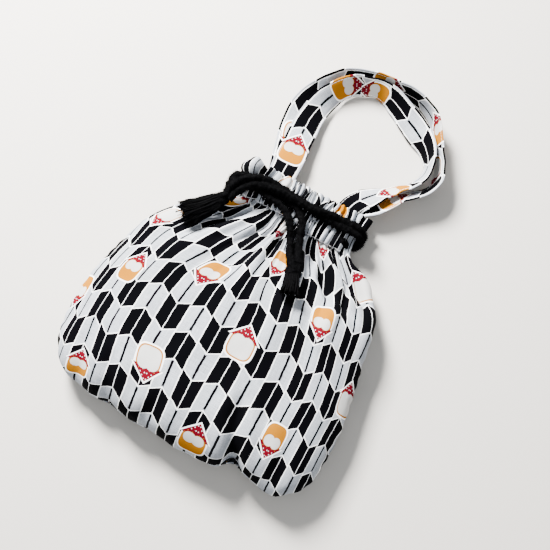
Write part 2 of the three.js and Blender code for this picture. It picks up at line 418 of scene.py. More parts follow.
@dataclass
class BagShape:
    """The bag's plan outline and the height of its side seams, mm.

    Attributes:
        outline: Height up the pouch, then where its left and its right seam lie.
        bottom: Place across, then how far the bottom seam is pulled up there.
        spread: Place across the belly, then the place on the flat cloth that lies there.
        slip: Place on the flat cloth, then how far it slips aside below the neck.
        bottom_y: Where the bottom seam lies.
        neck_y: Where the neck's parallel part begins.
        top_y: Upper edge of the heading.
        belly_seam: Height of the side seams at the belly.
        neck_seam: Height of the side seams at the neck.
        neck_rise: Rise of each panel over the seams at the neck.
        neck_squareness: Power of the neck's section.
        seam_reach: Half the length over which the bottom seam's pull is evened out.
        front: Bulge of the front panel.
        back: Bulge of the back panel.
    """

    outline: Sequence[tuple[float, float, float]] = (
        (-177.4, -58, 62), (-174.5, -80, 88), (-166, -96, 107), (-154, -108.5, 114.5),
        (-138, -116, 117.8), (-112, -118.5, 118), (-76, -115, 112.6), (-40, -105, 104),
        (-12, -91, 94.5), (4, -76, 80), (12, -66.5, 69.5), (18.5, -57, 61.5), (23.6, -51.2, 57.5),
        (34, -49.8, 55.5), (41, -50.8, 56), (49, -53.2, 57.5), (57.5, -52.8, 57),
    )
    bottom: Sequence[tuple[float, float]] = (
        (-119, 0), (-108, -4), (-95, -3), (-80, 2.5), (-64, 1.2), (-49, 3.6), (-29, 0.3),
        (-11, 0.6), (8, -1.6), (22, -0.3), (36, -0.6), (45, 1.6), (51, 6), (57, 12), (63, 9),
        (71, 6.5), (83, 2), (93, -1), (99, -2.2), (106, 3), (113, 2), (119, 0),
    )
    spread: Sequence[tuple[float, float]] = (
        (-118.5, -148), (-112, -136.2), (-104, -116.6), (-91.5, -97), (-77, -77.4),
        (-58.5, -57.8), (-39, -38.2), (-18.8, -18.6), (1, 1), (20.6, 20.6), (40.2, 40.2),
        (59.5, 59.8), (75, 79.4), (88.5, 99), (102.5, 118.6), (112.5, 138.2), (118.5, 150),
    )
    slip: Sequence[tuple[float, float]] = (
        (-150, 0), (-97, 0), (-77, 1), (-58, 7.5), (-38, 7), (-19, 4), (1, 0), (21, -4),
        (40, -1.5), (60, -2), (79, 0), (150, 0),
    )
    bottom_y: float = -177.4
    neck_y: float = 22.0
    top_y: float = 57.5
    belly_seam: float = 18.0
    neck_seam: float = 12.25
    neck_rise: float = 4.75
    neck_squareness: float = 8.0
    seam_reach: float = 3.5
    front: Bulge = Bulge(26.0, 2.4, 48.0, 2.2, -58.0)
    back: Bulge = Bulge(19.2, 3.5, 36.0, 3.0, -30.0)

    def seams(self, y: np.ndarray) -> tuple[np.ndarray, np.ndarray]:
        """Where the side seams lie.

        Args:
            y: Heights up the pouch, mm.

        Returns:
            The left seam's and the right seam's places across at those heights, mm.
        """
        knots = [(left, up, 0.0, right) for up, left, right in self.outline]
        line = spline(knots, 600)
        order = np.maximum.accumulate(line[:, 1])
        return np.interp(y, order, line[:, 0]), np.interp(y, order, line[:, 3])

    def pull(self, x: np.ndarray) -> np.ndarray:
        """How far the bottom seam is pulled up.

        Args:
            x: Places across the pouch, mm.

        Returns:
            The pull at those places, mm.
        """
        xs, ys = np.array(self.bottom, float).T
        reach = np.linspace(-self.seam_reach, self.seam_reach, 7)
        soft = np.interp(x[..., None] + reach, xs, ys)
        return soft.mean(-1)


@dataclass(frozen=True)
class Fold:
    """A soft crease on a panel, with a low ridge at each side, mm.

    Attributes:
        start: Place of its first end.
        end: Place of its other end.
        depth: Depth of the crease.
        width: Half its width.
    """

    start: tuple[float, float]
    end: tuple[float, float]
    depth: float
    width: float


@dataclass
class Gathers:
    """The pleats that the drawn cords make, wide near the handle's left foot and fine beside.

    Attributes:
        valleys: Where the valleys lie across the neck, mm.
        seed: Seed of the pleats' heights.
        middle: Place across of the neck's middle, mm.
        half: Half the neck's width, mm.
        tallest: Cap on a single pleat's height, mm.
        fine_reach: How far down from the cords single pleats run, mm.
        pairs: Height of the folds of two pleats and how far down they run, mm.
        broad: Height of the folds of four pleats and how far down they run, mm.
        sway: Height of the slow waves and how far down they run, mm.
    """

    valleys: Sequence[float]
    seed: int
    middle: float = 3.0
    half: float = 53.0
    tallest: float = 4.2
    fine_reach: float = 30.0
    pairs: tuple[float, float] = (7.5, 52.0)
    broad: tuple[float, float] = (8.0, 78.0)
    sway: tuple[float, float] = (1.6, 120.0)

    def __post_init__(self) -> None:
        """Draws the pleats' heights and the folds' offsets."""
        rng = np.random.default_rng(self.seed)
        self.places = (np.asarray(self.valleys, float) - self.middle) / self.half
        self.heights = rng.uniform(0.75, 1.2, len(self.places) + 1)
        self.offsets = rng.uniform(0, math.pi, 4)

    def phase(self, share: np.ndarray) -> np.ndarray:
        """Counts the pleats up to a place.

        Args:
            share: Place across the cloth, -1 to 1.

        Returns:
            Number of pleats, and part of one, up to there.
        """
        count = np.arange(len(self.places), dtype=float)
        soft = np.interp(share[..., None] + np.linspace(-0.012, 0.012, 5), self.places, count)
        return soft.mean(-1)

    def width(self, share: np.ndarray) -> np.ndarray:
        """Width of the pleat at a share of the cloth's width, mm at the neck."""
        centre = (self.places[1:] + self.places[:-1]) / 2
        return np.interp(share, centre, np.diff(self.places) * self.half)

    def lobes(self, share: np.ndarray) -> np.ndarray:
        """Rounded ridges with sharp valleys between them, 0 to 1."""
        return np.abs(np.sin(math.pi * self.phase(share))) ** 0.8

    def relief(self, share: np.ndarray, away: np.ndarray) -> np.ndarray:
        """Height of the pleats, mm.

        Args:
            share: Place across the cloth, -1 to 1.
            away: Distance down from the cords, mm, 0 above them.

        Returns:
            Heights about a middle of 0.
        """
        phase = self.phase(share)
        width = self.width(share)
        tall = np.interp(phase, np.arange(len(self.heights)), self.heights)
        fine = np.minimum(0.5 * width, self.tallest) * tall * (self.lobes(share) - 0.6)
        drift = 0.35 * np.sin(away / 17.0 + 5.0 * share)
        pairs = 1 - np.abs(np.sin(math.pi * phase / 2 + self.offsets[0] + drift)) ** 1.1
        broad = 1 - np.abs(np.sin(math.pi * phase / 4 + self.offsets[1] + 0.7 * drift)) ** 1.4
        wide = np.sin(2 * math.pi * phase / 9 + self.offsets[2])
        grow = smoothstep(away, 2, 16)
        (deep, far), (deeper, farther), (slow, farthest) = self.pairs, self.broad, self.sway
        return (
            fine * np.exp(-((away / self.fine_reach) ** 1.4))
            - grow * deep * (pairs - 0.35) * np.exp(-((away / far) ** 1.5)) * (width / 6) ** 0.3
            - grow * deeper * (broad - 0.35) * np.exp(-((away / farther) ** 2))
            + grow * slow * wide * np.exp(-((away / farthest) ** 2))
        )


@dataclass
class Panel:
    """One printed panel, from the bottom seam up to the gathered heading.

    Attributes:
        side: Front or back of the bag.
        shape: The bag's outline.
        gathers: Its pleats.
        folds: Soft creases on the belly.
        rows: Rows of points in the lower edge, the belly and the neck.
        columns: Columns of points across the cloth.
        thickness: Thickness of the cloth with its turned seams, mm.
        lower_edge: Height of the lower edge's own rows over the bottom seam, mm.
        neck_rows: Height up the pouch where the neck's rows begin, mm.
        belly_y: Height up the pouch of the row that the shape's spread is given for, mm.
        seams_fall: Height up the pouch where the side seams begin to fall, mm.
        drawn_in: Heights up the pouch between which the cloth's spread becomes even, mm.
        slips: Heights up the pouch between which the slip begins, mm.
        slip_eases: Heights up the pouch between which half the slip ends, mm.
        pull_from: Height up the pouch under which the bottom seam pulls, mm.
        print_pull: Place across, then how far the print is pulled aside at the bottom, mm.
        cased: Heights up the pouch between which the channel's press begins, and ends, mm.
        heading_y: Height up the pouch where the heading begins, mm.
        puff_y: Height up the pouch where the heading's puff begins, mm.
        puff_length: Height of the puff, mm.
        stitch_inset: How far under the heading's edge its stitches run, mm.
    """

    side: Side
    shape: BagShape
    gathers: Gathers
    folds: Sequence[Fold] = ()
    rows: tuple[int, int, int] = (38, 44, 84)
    columns: int = 240
    thickness: float = 0.7
    lower_edge: float = 50.0
    neck_rows: float = -24.0
    belly_y: float = -100.0
    seams_fall: float = -40.0
    drawn_in: tuple[float, float] = (-85.0, 10.0)
    slips: tuple[float, float] = (-62.0, -32.0)
    slip_eases: tuple[float, float] = (12.0, 24.0)
    pull_from: float = -118.0
    print_pull: Sequence[tuple[float, float]] = ((-116, 0), (-80, 9), (-30, 8), (15, 0))
    cased: tuple[float, float, float, float] = (20.0, 25.0, 39.0, 44.0)
    heading_y: float = 41.0
    puff_y: float = 40.5
    puff_length: float = 18.5
    stitch_inset: float = 3.0

    def heights(self) -> np.ndarray:
        """Spaces the rows, closer where the cloth curves or gathers.

        Returns:
            Heights up the pouch of the rows, mm.
        """
        low, middle, high = self.rows
        shape = self.shape
        bottom = shape.bottom_y + self.lower_edge * (np.arange(low) / low) ** 1.7
        belly = np.linspace(
            shape.bottom_y + self.lower_edge, self.neck_rows, middle, endpoint=False)
        neck = np.linspace(self.neck_rows, shape.top_y, high)
        return np.concatenate([bottom, belly, neck])

    def base(self) -> tuple[np.ndarray, np.ndarray]:
        """The smooth surface before it is gathered.

        Returns:
            The grid of points, mm, and its places on the flat cloth, mm.
        """
        shape = self.shape
        bulge = shape.front if self.side is Side.FRONT else shape.back
        y = self.heights()[:, None]
        left, right = (edge[:, None] for edge in shape.seams(y[:, 0]))
        near = smoothstep(y, bulge.narrows_from, shape.neck_y)
        seam = shape.belly_seam + (shape.neck_seam - shape.belly_seam) * smoothstep(
            y, self.seams_fall, shape.neck_y)
        rise = bulge.rise + (shape.neck_rise - bulge.rise) * near
        power = bulge.squareness + (shape.neck_squareness - bulge.squareness) * smoothstep(
            y, shape.front.narrows_from, shape.neck_y)
        over = 1 - np.minimum((y - shape.bottom_y) / bulge.round_over, 1)
        over = (1 - over**bulge.roundness) ** (1 / bulge.roundness)
        place = np.sin(np.linspace(-math.pi / 2, math.pi / 2, 801))[None, :]
        arch = (1 - np.abs(place) ** power) ** (1 / power)
        x = (left + right) / 2 + (right - left) / 2 * place
        up = rise * arch * over
        z = seam + up if self.side is Side.FRONT else np.maximum(seam - up, 0.0)
        steps = np.hypot(np.diff(x, axis=1), np.diff(z, axis=1))
        arc = np.concatenate([np.zeros_like(y), np.cumsum(steps, axis=1)], axis=1)
        belly = int(np.argmin(np.abs(y[:, 0] - self.belly_y)))
        lies, flat = np.array(shape.spread, float).T
        even = np.linspace(flat[0], flat[-1], self.columns)
        wide = np.interp(np.interp(even, flat, lies), x[belly], arc[belly]) / arc[belly, -1]
        drawn = np.linspace(0, 1, self.columns)
        grid = np.empty((len(y), self.columns, 3))
        for i, row in enumerate(arc):
            near = smoothstep(y[i, 0], *self.drawn_in)
            want = (wide + (drawn - wide) * near) * row[-1]
            want += np.interp(even, *np.array(shape.slip, float).T) * float(
                smoothstep(y[i, 0], *self.slips)
                * (1 - 0.5 * smoothstep(y[i, 0], *self.slip_eases)))
            grid[i, :, 0] = np.interp(want, row, x[i])
            grid[i, :, 1] = y[i, 0]
            grid[i, :, 2] = np.interp(want, row, z[i])
        low = smoothstep(-y, -self.pull_from, -shape.bottom_y)
        pulled = np.interp(grid[..., 0], *np.array(self.print_pull, float).T)
        across = np.interp(grid[..., 0] - pulled * low**0.7, lies, flat)
        across[belly:] = across[belly]
        grid[..., 1] += shape.pull(grid[..., 0]) * low
        rise_by_row = np.linalg.norm(np.diff(grid, axis=0), axis=2)
        up_cloth = np.concatenate([np.zeros((1, self.columns)), np.cumsum(rise_by_row, axis=0)])
        up_cloth += y[belly, 0] - up_cloth[belly]
        return grid, np.stack([across, up_cloth], -1)

    def folded(self, grid: np.ndarray) -> np.ndarray:
        """Height of the soft folds over the smooth surface.

        Args:
            grid: The smooth surface, mm.

        Returns:
            The height at each point, mm.
        """
        x, y = grid[..., 0], grid[..., 1]
        total = 0.55 * soft_noise(x, y, 46, FOLD_SEED)
        total = total + 0.22 * soft_noise(x, y, 17, FOLD_SEED + 1)
        total *= smoothstep(-y, -5, 60)
        for fold in self.folds:
            start, end = np.array(fold.start), np.array(fold.end)
            along = (end - start) / np.linalg.norm(end - start)
            run = ((x - start[0]) * along[0] + (y - start[1]) * along[1])
            run = run / np.linalg.norm(end - start)
            off = (x - start[0]) * -along[1] + (y - start[1]) * along[0]
            fade = smoothstep(run, -0.25, 0.1) * smoothstep(1.25 - run, 0.0, 0.6)
            groove = np.exp(-((off / fold.width) ** 2))
            ridge = np.exp(-(((np.abs(off) - 2.1 * fold.width) / (1.3 * fold.width)) ** 2))
            total -= fold.depth * (groove - 0.4 * ridge) * fade
        return total

    def surface(self) -> Surface:
        """Gathers the smooth surface and gives it its thickness.

        Returns:
            The panel as a closed sheet.
        """
        shape = self.shape
        grid, cloth = self.base()
        share = np.broadcast_to(np.linspace(-1, 1, self.columns), grid.shape[:2])
        y = grid[..., 1].copy()
        away = np.maximum(shape.neck_y + 2 - y, 0)
        lift = self.gathers.relief(share, away)
        above = smoothstep(y, self.heading_y, shape.top_y)
        under = smoothstep(y, *self.cased[:2]) * (1 - smoothstep(y, *self.cased[2:]))
        lobes = self.gathers.lobes(share)
        width = self.gathers.width(share)
        lift = lift * (1 - 0.8 * under) * (1 + 0.45 * above)
        puff = np.sin(math.pi * np.clip((y - self.puff_y) / self.puff_length, 0, 1))
        balloon = np.clip(width - 6.0, 0, 6) / 6
        lift += above * (1.6 + 0.12 * width) * (1 - 0.6 * balloon)
        lift += puff * balloon * (3.5 + 8.0 * lobes)
        lift += self.folded(grid) * (1 - smoothstep(y, 6, 22))
        edge = 1 - smoothstep(np.abs(share), 0.965, 1.0)
        lift *= edge
        normal = grid_normals(grid)
        if self.side is Side.BACK:
            normal = -normal
            lift = np.minimum(lift, grid[..., 2])
        grid = grid + normal * lift[..., None]
        ruffle = above * ((0.16 + 0.14 * balloon) * width * (lobes - 0.5) + 0.7 * soft_noise(
            share * 50, y * 0 + 3, 9, self.gathers.seed))
        grid[..., 1] += ruffle
        grid[..., 0] += above * 1.2 * soft_noise(share * 60, y, 14, self.gathers.seed + 1) * edge
        pucker = smoothstep(np.abs(share), 0.9, 1.0) * (1 - smoothstep(y, 10, 22))
        outward = np.sign(share) * 0.45 * np.sin(y / 1.9 + 1.3 * np.sin(y / 11.0))
        grid[..., 0] += pucker * outward
        if self.side is Side.BACK:
            grid[..., 2] = np.maximum(grid[..., 2], 0.0)
        inward = -grid_normals(grid) if self.side is Side.FRONT else grid_normals(grid)
        inner = grid + inward * self.thickness
        if self.side is Side.BACK:
            inner[..., 2] = np.maximum(inner[..., 2], grid[..., 2] + 0.05)
        from_top = np.abs(shape.top_y - self.stitch_inset - (y + ruffle))
        stitch = np.stack([from_top + 50 * (1 - above), cloth[..., 0]], -1)
        flat = cloth * MM
        if self.side is Side.BACK:
            grid, inner, flat, stitch = (g[:, ::-1] for g in (grid, inner, flat, stitch))
        return closed_sheet(grid, inner, flat, stitch)


@dataclass
class Channel:
    """A gathered strip that carries the cords outside one panel, sewn along both edges.

    Attributes:
        side: Front or back of the bag.
        shape: The bag's outline.
        gathers: The pleats of the panel under it.
        left: Its left end, mm.
        right: Its right end, mm.
        low: Its lower edge at the right, mm.
        high: Its upper edge, mm.
        depth: How far it stands off the panel, mm.
        tuck: How much higher the lower edge lies at the left, mm.
        thickness: Thickness of its cloth, mm.
        print_half: Half the width of print that it takes up, mm.
        print_start: Where its lower edge lies on the print, mm.
        stitch_inset: How far in from its edges the stitches run, mm.
        rows: Rows of points up the strip.
        columns: Columns of points along it.
    """

    side: Side
    shape: BagShape
    gathers: Gathers
    left: float = -44.5
    right: float = 49.0
    low: float = 21.2
    high: float = 41.0
    depth: float = 7.2
    tuck: float = 5.0
    thickness: float = 0.7
    print_half: float = 131.0
    print_start: float = 160.0
    stitch_inset: float = 1.6
    rows: int = 26
    columns: int = 260

    def surface(self) -> Surface:
        """Gathers the strip and gives it its thickness.

        Returns:
            The strip as a closed sheet.
        """
        shape = self.shape
        x = np.linspace(self.left, self.right, self.columns)[None, :]
        q = np.linspace(0, 1, self.rows)[:, None]
        share = (x - self.gathers.middle) / self.gathers.half
        lobes = self.gathers.lobes(share)
        width = self.gathers.width(share)
        ends = smoothstep(np.minimum(x - self.left, self.right - x), -2.0, 6.0)
        arch = np.sin(math.pi * np.clip(q, 0, 1)) ** 0.5
        base = shape.neck_rise + 1.2 + 0.8 * (lobes - 0.5)
        height = base + arch * (self.depth - 2.1 + 0.32 * width * (lobes - 0.55)) * ends
        hem = 1 - smoothstep(np.minimum(q, 1 - q), 0.0, 0.3)
        low = self.low + self.tuck * (1 - smoothstep(x, 4.0, 16.0))
        scallop = 0.18 * np.sign(q - 0.5) * width * (lobes - 0.5) * hem
        y = low + (self.high - low) * q + scallop
        sway = 0.5 * np.sin(q * 3.0 + x / 7.0)
        sign = 1.0 if self.side is Side.FRONT else -1.0
        z = shape.neck_seam + sign * height
        grid = np.stack(np.broadcast_arrays(x + sway, y, np.maximum(z, 0.0)), -1)
        normal = grid_normals(grid) * sign
        inner = grid - normal * self.thickness
        inner[..., 2] = np.maximum(inner[..., 2], 0.3)
        along = np.concatenate([np.zeros((1, self.columns)), np.cumsum(np.linalg.norm(
            np.diff(grid, axis=0), axis=2), axis=0)])
        across = share * self.print_half
        cloth = np.stack(np.broadcast_arrays(across, along + self.print_start), -1) * MM
        edge = np.minimum(along, along[-1:] - along) - self.stitch_inset
        stitch = np.stack(np.broadcast_arrays(edge, across), -1)
        if self.side is Side.BACK:
            grid, inner, cloth, stitch = (g[:, ::-1] for g in (grid, inner, cloth, stitch))
        return closed_sheet(grid, inner, cloth, stitch)


@dataclass
class Strap:
    """One of the handle's two straps, folded from the printed cloth and stitched at its edges.

    Attributes:
        stations: x, y, z, half the width and the lean in degrees, outer edge up.
        origin: Where the strap's middle lies on the print, mm.
        seed: Seed of its ripples.
        thickness: Thickness of the folded cloth, mm.
        stitch_inset: How far in from its edges the stitches run, mm.
        rows: Rings of points along it.
        sides: Points of each ring.
    """

    stations: Sequence[tuple[float, float, float, float, float]]
    origin: tuple[float, float]
    seed: int
    thickness: float = 1.7
    stitch_inset: float = 2.0
    rows: int = 170
    sides: int = 36

    def surface(self) -> Surface:
        """Sweeps the strap's flat, slightly hollow section along its stations.

        Returns:
            The strap as a closed tube.
        """
        route = spline(self.stations, self.rows)
        line, half, lean = route[:, :3], route[:, 3], np.radians(route[:, 4])
        along = unit(np.gradient(line, axis=0))
        level = unit(np.cross([0.0, 0.0, 1.0], along))
        over = np.cross(along, level)
        outward = level * np.cos(lean)[:, None] + over * np.sin(lean)[:, None]
        normal = np.cross(along, outward)
        run = run_length(line)[:, None]
        angle = np.linspace(0, 2 * math.pi, self.sides, endpoint=False)[None, :]
        across = np.sign(np.cos(angle)) * np.abs(np.cos(angle)) ** 0.75
        face = np.sign(np.sin(angle)) * np.abs(np.sin(angle)) ** 0.45
        groove = 0.3 * np.exp(-(((np.abs(across) - 0.84) / 0.05) ** 2))
        high = face * (self.thickness / 2 - groove)
        ripple = 0.5 * soft_noise(run, across * 9, 21, self.seed) * (0.4 + 0.6 * np.abs(across))
        ripple += 0.2 * np.sin(run / 2.3) * np.abs(across) ** 3
        hollow = -0.6 * across**2
        wide = half[:, None] * (across + 0.02 * np.sin(run / 5.0 + 2 * across))
        points = (line[:, None] + outward[:, None] * wide[..., None]
                  + normal[:, None] * (high + ripple + hollow)[..., None])
        index = np.arange(self.rows * self.sides).reshape(self.rows, self.sides)
        turn = np.roll(index, -1, axis=1)
        faces = np.stack([index[:-1], turn[:-1], turn[1:], index[1:]], -1).reshape(-1, 4)
        ends = []
        for ring, flip in ((index[0], 1), (index[-1], -1)):
            for k in range(self.sides // 2 - 1):
                quad = [ring[k], ring[k + 1], ring[-2 - k], ring[-1 - k]]
                ends.append(quad[::-flip] if flip > 0 else quad)
        middle = np.array(self.origin)
        u = across * half[:, None] + middle[0]
        cloth = np.stack(np.broadcast_arrays(u, run + middle[1]), -1).reshape(-1, 2) * MM
        inset = np.abs(half[:, None] * (1 - np.abs(across)) - self.stitch_inset)
        stitch = np.stack(np.broadcast_arrays(inset, run), -1).reshape(-1, 2)
        return Surface(points.reshape(-1, 3), np.concatenate([faces, np.array(ends)]),
                       cloth, stitch)


# ---- Cords, knots and tassels --------------------------------------------------------------
@dataclass
class Fuzz:
    """Short fibres that stand off a cord's surface.

    Attributes:
        per_mm2: Fibres on each square millimetre.
        length: Usual length, mm.
        seed: Seed of their places.
        half_width: Half a fibre's width at its root, mm.
        lowest: Height over the table that no fibre goes under, mm.
    """

    per_mm2: float = 3.4
    length: float = 1.5
    seed: int = 1
    half_width: float = 0.1
    lowest: float = 0.1

    def grow(self, body: Surface) -> Surface:
        """Grows thin three-cornered fibres over a surface.

        Args:
            body: The cord, knot or tassel that they stand on.

        Returns:
            The fibres' surface.
        """
        rng = np.random.default_rng(self.seed)
        quads = body.faces[body.faces[:, 3] >= 0]
        a, b, c, d = (body.points[quads[:, k]] for k in range(4))
        cross = np.cross(c - a, d - b)
        area = np.linalg.norm(cross, axis=1) / 2
        count = rng.poisson(area * self.per_mm2)
        pick = np.repeat(np.arange(len(quads)), count)
        s, t = rng.uniform(0, 1, (2, len(pick), 1))
        root = (a[pick] * (1 - s) + b[pick] * s) * (1 - t) + (d[pick] * (1 - s) + c[pick] * s) * t
        out = unit(cross)[pick] + rng.normal(0, 0.75, (len(pick), 3))
        tip = root + unit(out) * (self.length * rng.gamma(4, 0.25, (len(pick), 1)))
        side = unit(np.cross(out, rng.normal(0, 1, (len(pick), 3)))) * self.half_width
        points = np.stack([root - side, root + side, tip], 1).reshape(-1, 3)
        points[:, 2] = np.maximum(points[:, 2], self.lowest)
        n = np.arange(len(pick))[:, None] * 3
        faces = np.concatenate([n, n + 1, n + 2, np.full_like(n, -1)], 1)
        return Surface(points, faces, points[:, :2] * MM)


@dataclass
class CordYarn:
    """The soft black cord.

    Attributes:
        diameter: Thickness of the cord, mm.
        strands: Number of twisted strands.
        lay: Length along the cord in which two strands pass, mm.
        sides: Points of each ring.
        bed: How far the core's surface lies inside the cord's outline, mm.
    """

    diameter: float = 6.0
    strands: int = 3
    lay: float = 22.0
    sides: int = 24
    bed: float = 0.1

    def relief(self, run: np.ndarray, angle: np.ndarray) -> np.ndarray:
        """Height of the twisted strands over the cord's core.

        Args:
            run: Distance along the cord, mm.
            angle: Angle round it.

        Returns:
            The height at each place, mm.
        """
        turn = angle * self.strands - 2 * math.pi * run / self.lay * 2
        rope = 0.4 * (np.abs(np.cos(turn / 2)) - 0.6)
        lumps = 0.42 * np.sin(run / 2.3 + 2 * angle + np.sin(run / 6.1)) * np.sin(
            run / 3.7 - angle)
        tufts = 0.3 * np.sin(run / 1.1 - 3 * angle) * np.sin(run / 1.6 + 4 * angle)
        return rope + lumps + tufts

    def tube(self, line: np.ndarray) -> Surface:
        """The cord's surface along a line of ring centres, mm."""
        return tube(line, self.diameter / 2 - self.bed, self.sides, self.relief)


@dataclass
class Strand:
    """A free strand of a drawcord.

    Attributes:
        name: Name of the piece and of the CAD node that it stands for.
        route: Points of its centreline, metres.
        knot: Name of the cord whose knot is at its end.
    """

    name: str
    route: Sequence[tuple[float, float, float]]
    knot: str

    def line(self) -> np.ndarray:
        """Ring centres along the strand, mm."""
        return spline(np.asarray(self.route) / MM, STRAND_RINGS)


RIGHT_CORD_UPPER = (
    (0.0484, 0.0364, 0.0043), (0.0508, 0.0364, 0.0044), (0.0572, 0.0386, 0.0077),
    (0.0604, 0.0418, 0.0158), (0.0572, 0.0442, 0.0239), (0.049, 0.0442, 0.0274),
    (0.038, 0.0434, 0.028), (0.029, 0.0422, 0.0306), (0.02, 0.0402, 0.0322),
    (0.008, 0.0392, 0.0326), (-0.006, 0.0396, 0.0326), (-0.018, 0.0394, 0.0326),
    (-0.029, 0.0374, 0.0327), (-0.039, 0.0324, 0.0324), (-0.0465, 0.0234, 0.03),
    (-0.05, 0.0145, 0.0274),
)
RIGHT_CORD_LOWER = (
    (0.0484, 0.0312, 0.0043), (0.0508, 0.0312, 0.0044), (0.0572, 0.0332, 0.0077),
    (0.0604, 0.0364, 0.0158), (0.0572, 0.0388, 0.0239), (0.049, 0.0388, 0.0272),
    (0.038, 0.0382, 0.0272), (0.028, 0.038, 0.0272), (0.018, 0.0388, 0.0272),
    (0.006, 0.041, 0.0272), (-0.008, 0.043, 0.0272), (-0.02, 0.0436, 0.0284),
    (-0.031, 0.0426, 0.0324), (-0.042, 0.038, 0.0336), (-0.051, 0.0295, 0.0315),
    (-0.0555, 0.018, 0.0274),
)
LEFT_CORD_UPPER = (
    (-0.0442, 0.0312, 0.0043), (-0.048, 0.0312, 0.0045), (-0.055, 0.0322, 0.008),
    (-0.0588, 0.0346, 0.0158), (-0.0548, 0.0376, 0.0239), (-0.0465, 0.0396, 0.0272),
    (-0.034, 0.0394, 0.0272), (-0.021, 0.0378, 0.0272), (-0.009, 0.0372, 0.0272),
    (0.0015, 0.0352, 0.0272), (0.0098, 0.0288, 0.0275), (0.0146, 0.019, 0.0271),
    (0.0192, 0.007, 0.0256), (0.0236, -0.0032, 0.029), (0.0262, -0.0084, 0.0336),
)
LEFT_CORD_LOWER = (
    (-0.0442, 0.026, 0.0043), (-0.048, 0.026, 0.0045), (-0.055, 0.0268, 0.008),
    (-0.0588, 0.029, 0.0158), (-0.0548, 0.032, 0.0239), (-0.0465, 0.034, 0.0272),
    (-0.034, 0.0338, 0.0272), (-0.022, 0.0324, 0.0272), (-0.012, 0.031, 0.0272),
    (-0.003, 0.027, 0.0274), (0.0042, 0.019, 0.0271), (0.01, 0.0094, 0.025),
    (0.0146, -0.0002, 0.0266), (0.0182, -0.0058, 0.03), (0.0204, -0.0098, 0.0336),
)


@dataclass
class CordEnd:
    """A knot of both strands and the tassel of yarn below it, mm.

    Attributes:
        name: Start of the pieces' names, such as right_cord.
        knot: Where the knot begins and ends.
        tassel: Where the tassel begins and where its tip lies.
        spread: Half the tip's width, across and up.
        threads: Number of threads in the tassel.
        seed: Seed of the threads and fibres.
        knot_radius: Radius of the knotted strands.
        knot_sides: Points of each ring of the knot.
        thread_rings: Rings of points along a thread.
        thread_sides: Points of each ring of a thread.
    """

    name: str
    knot: tuple[Sequence[float], Sequence[float]]
    tassel: tuple[Sequence[float], Sequence[float]]
    spread: tuple[float, float]
    threads: int
    seed: int
    knot_radius: float = 2.9
    knot_sides: int = 16
    thread_rings: int = 12
    thread_sides: int = 5

    def knot_surface(self) -> Surface:
        """Ties two strands over each other, as a thick three-lobed knot.

        Returns:
            The knot's surface.
        """
        start, end = (np.asarray(p, float) for p in self.knot)
        axis = unit(end - start)
        side = unit(np.cross(axis, [0, 0, 1.0]))
        up = np.cross(side, axis)
        t = np.linspace(0, 2 * math.pi, 150, endpoint=False)
        parts = []
        for turn, size in ((0.0, 1.0), (0.9, 0.86)):
            a = np.sin(t + turn) + 2 * np.sin(2 * t + turn)
            b = np.cos(t + turn) - 2 * np.cos(2 * t + turn)
            c = -np.sin(3 * t)
            reach = np.linalg.norm(end - start)
            line = (start + end) / 2 + size * (
                (a * 1.35)[:, None] * side + (b * 0.155 * reach)[:, None] * axis
                + (c * 2.3)[:, None] * up)
            line = np.concatenate([line, line[:1]])
            parts.append(tube(line, self.knot_radius, self.knot_sides, CordYarn().relief))
        return joined(parts)

    def tassel_surface(self) -> Surface:
        """Fans loose yarn out from the knot to a ragged tip.

        Returns:
            The threads' surface.
        """
        rng = np.random.default_rng(self.seed)
        start, end = (np.asarray(p, float) for p in self.tassel)
        axis = end - start
        side = unit(np.cross(axis, [0, 0, 1.0]))
        up = unit(np.cross(side, axis))
        parts = []
        for _ in range(self.threads):
            angle, far = rng.uniform(0, 2 * math.pi), math.sqrt(rng.uniform(0, 1))
            a, b = far * math.cos(angle), far * math.sin(angle)
            reach = rng.uniform(0.78, 1.05) if rng.uniform() < 0.8 else rng.uniform(0.9, 1.14)
            t = np.linspace(0, reach, self.thread_rings)[:, None]
            fan = 0.42 + 0.58 * t**0.8
            wave = rng.uniform(0.2, 0.9) * np.sin(t * rng.uniform(4, 9) + angle)
            line = (start - 0.12 * axis + 1.12 * axis * t
                    + side * (a * self.spread[0] * fan + wave)
                    + up * (b * self.spread[1] * fan + 0.6 * wave * rng.uniform(-1, 1)))
            thick = rng.uniform(0.45, 0.75) * (1 - 0.55 * (t[:, 0] / reach) ** 4)
            parts.append(tube(line, thick, self.thread_sides))
        return joined(parts)


# ---- Shader helpers ------------------------------------------------------------------------
SocketValue = bpy.types.NodeSocket | float | tuple


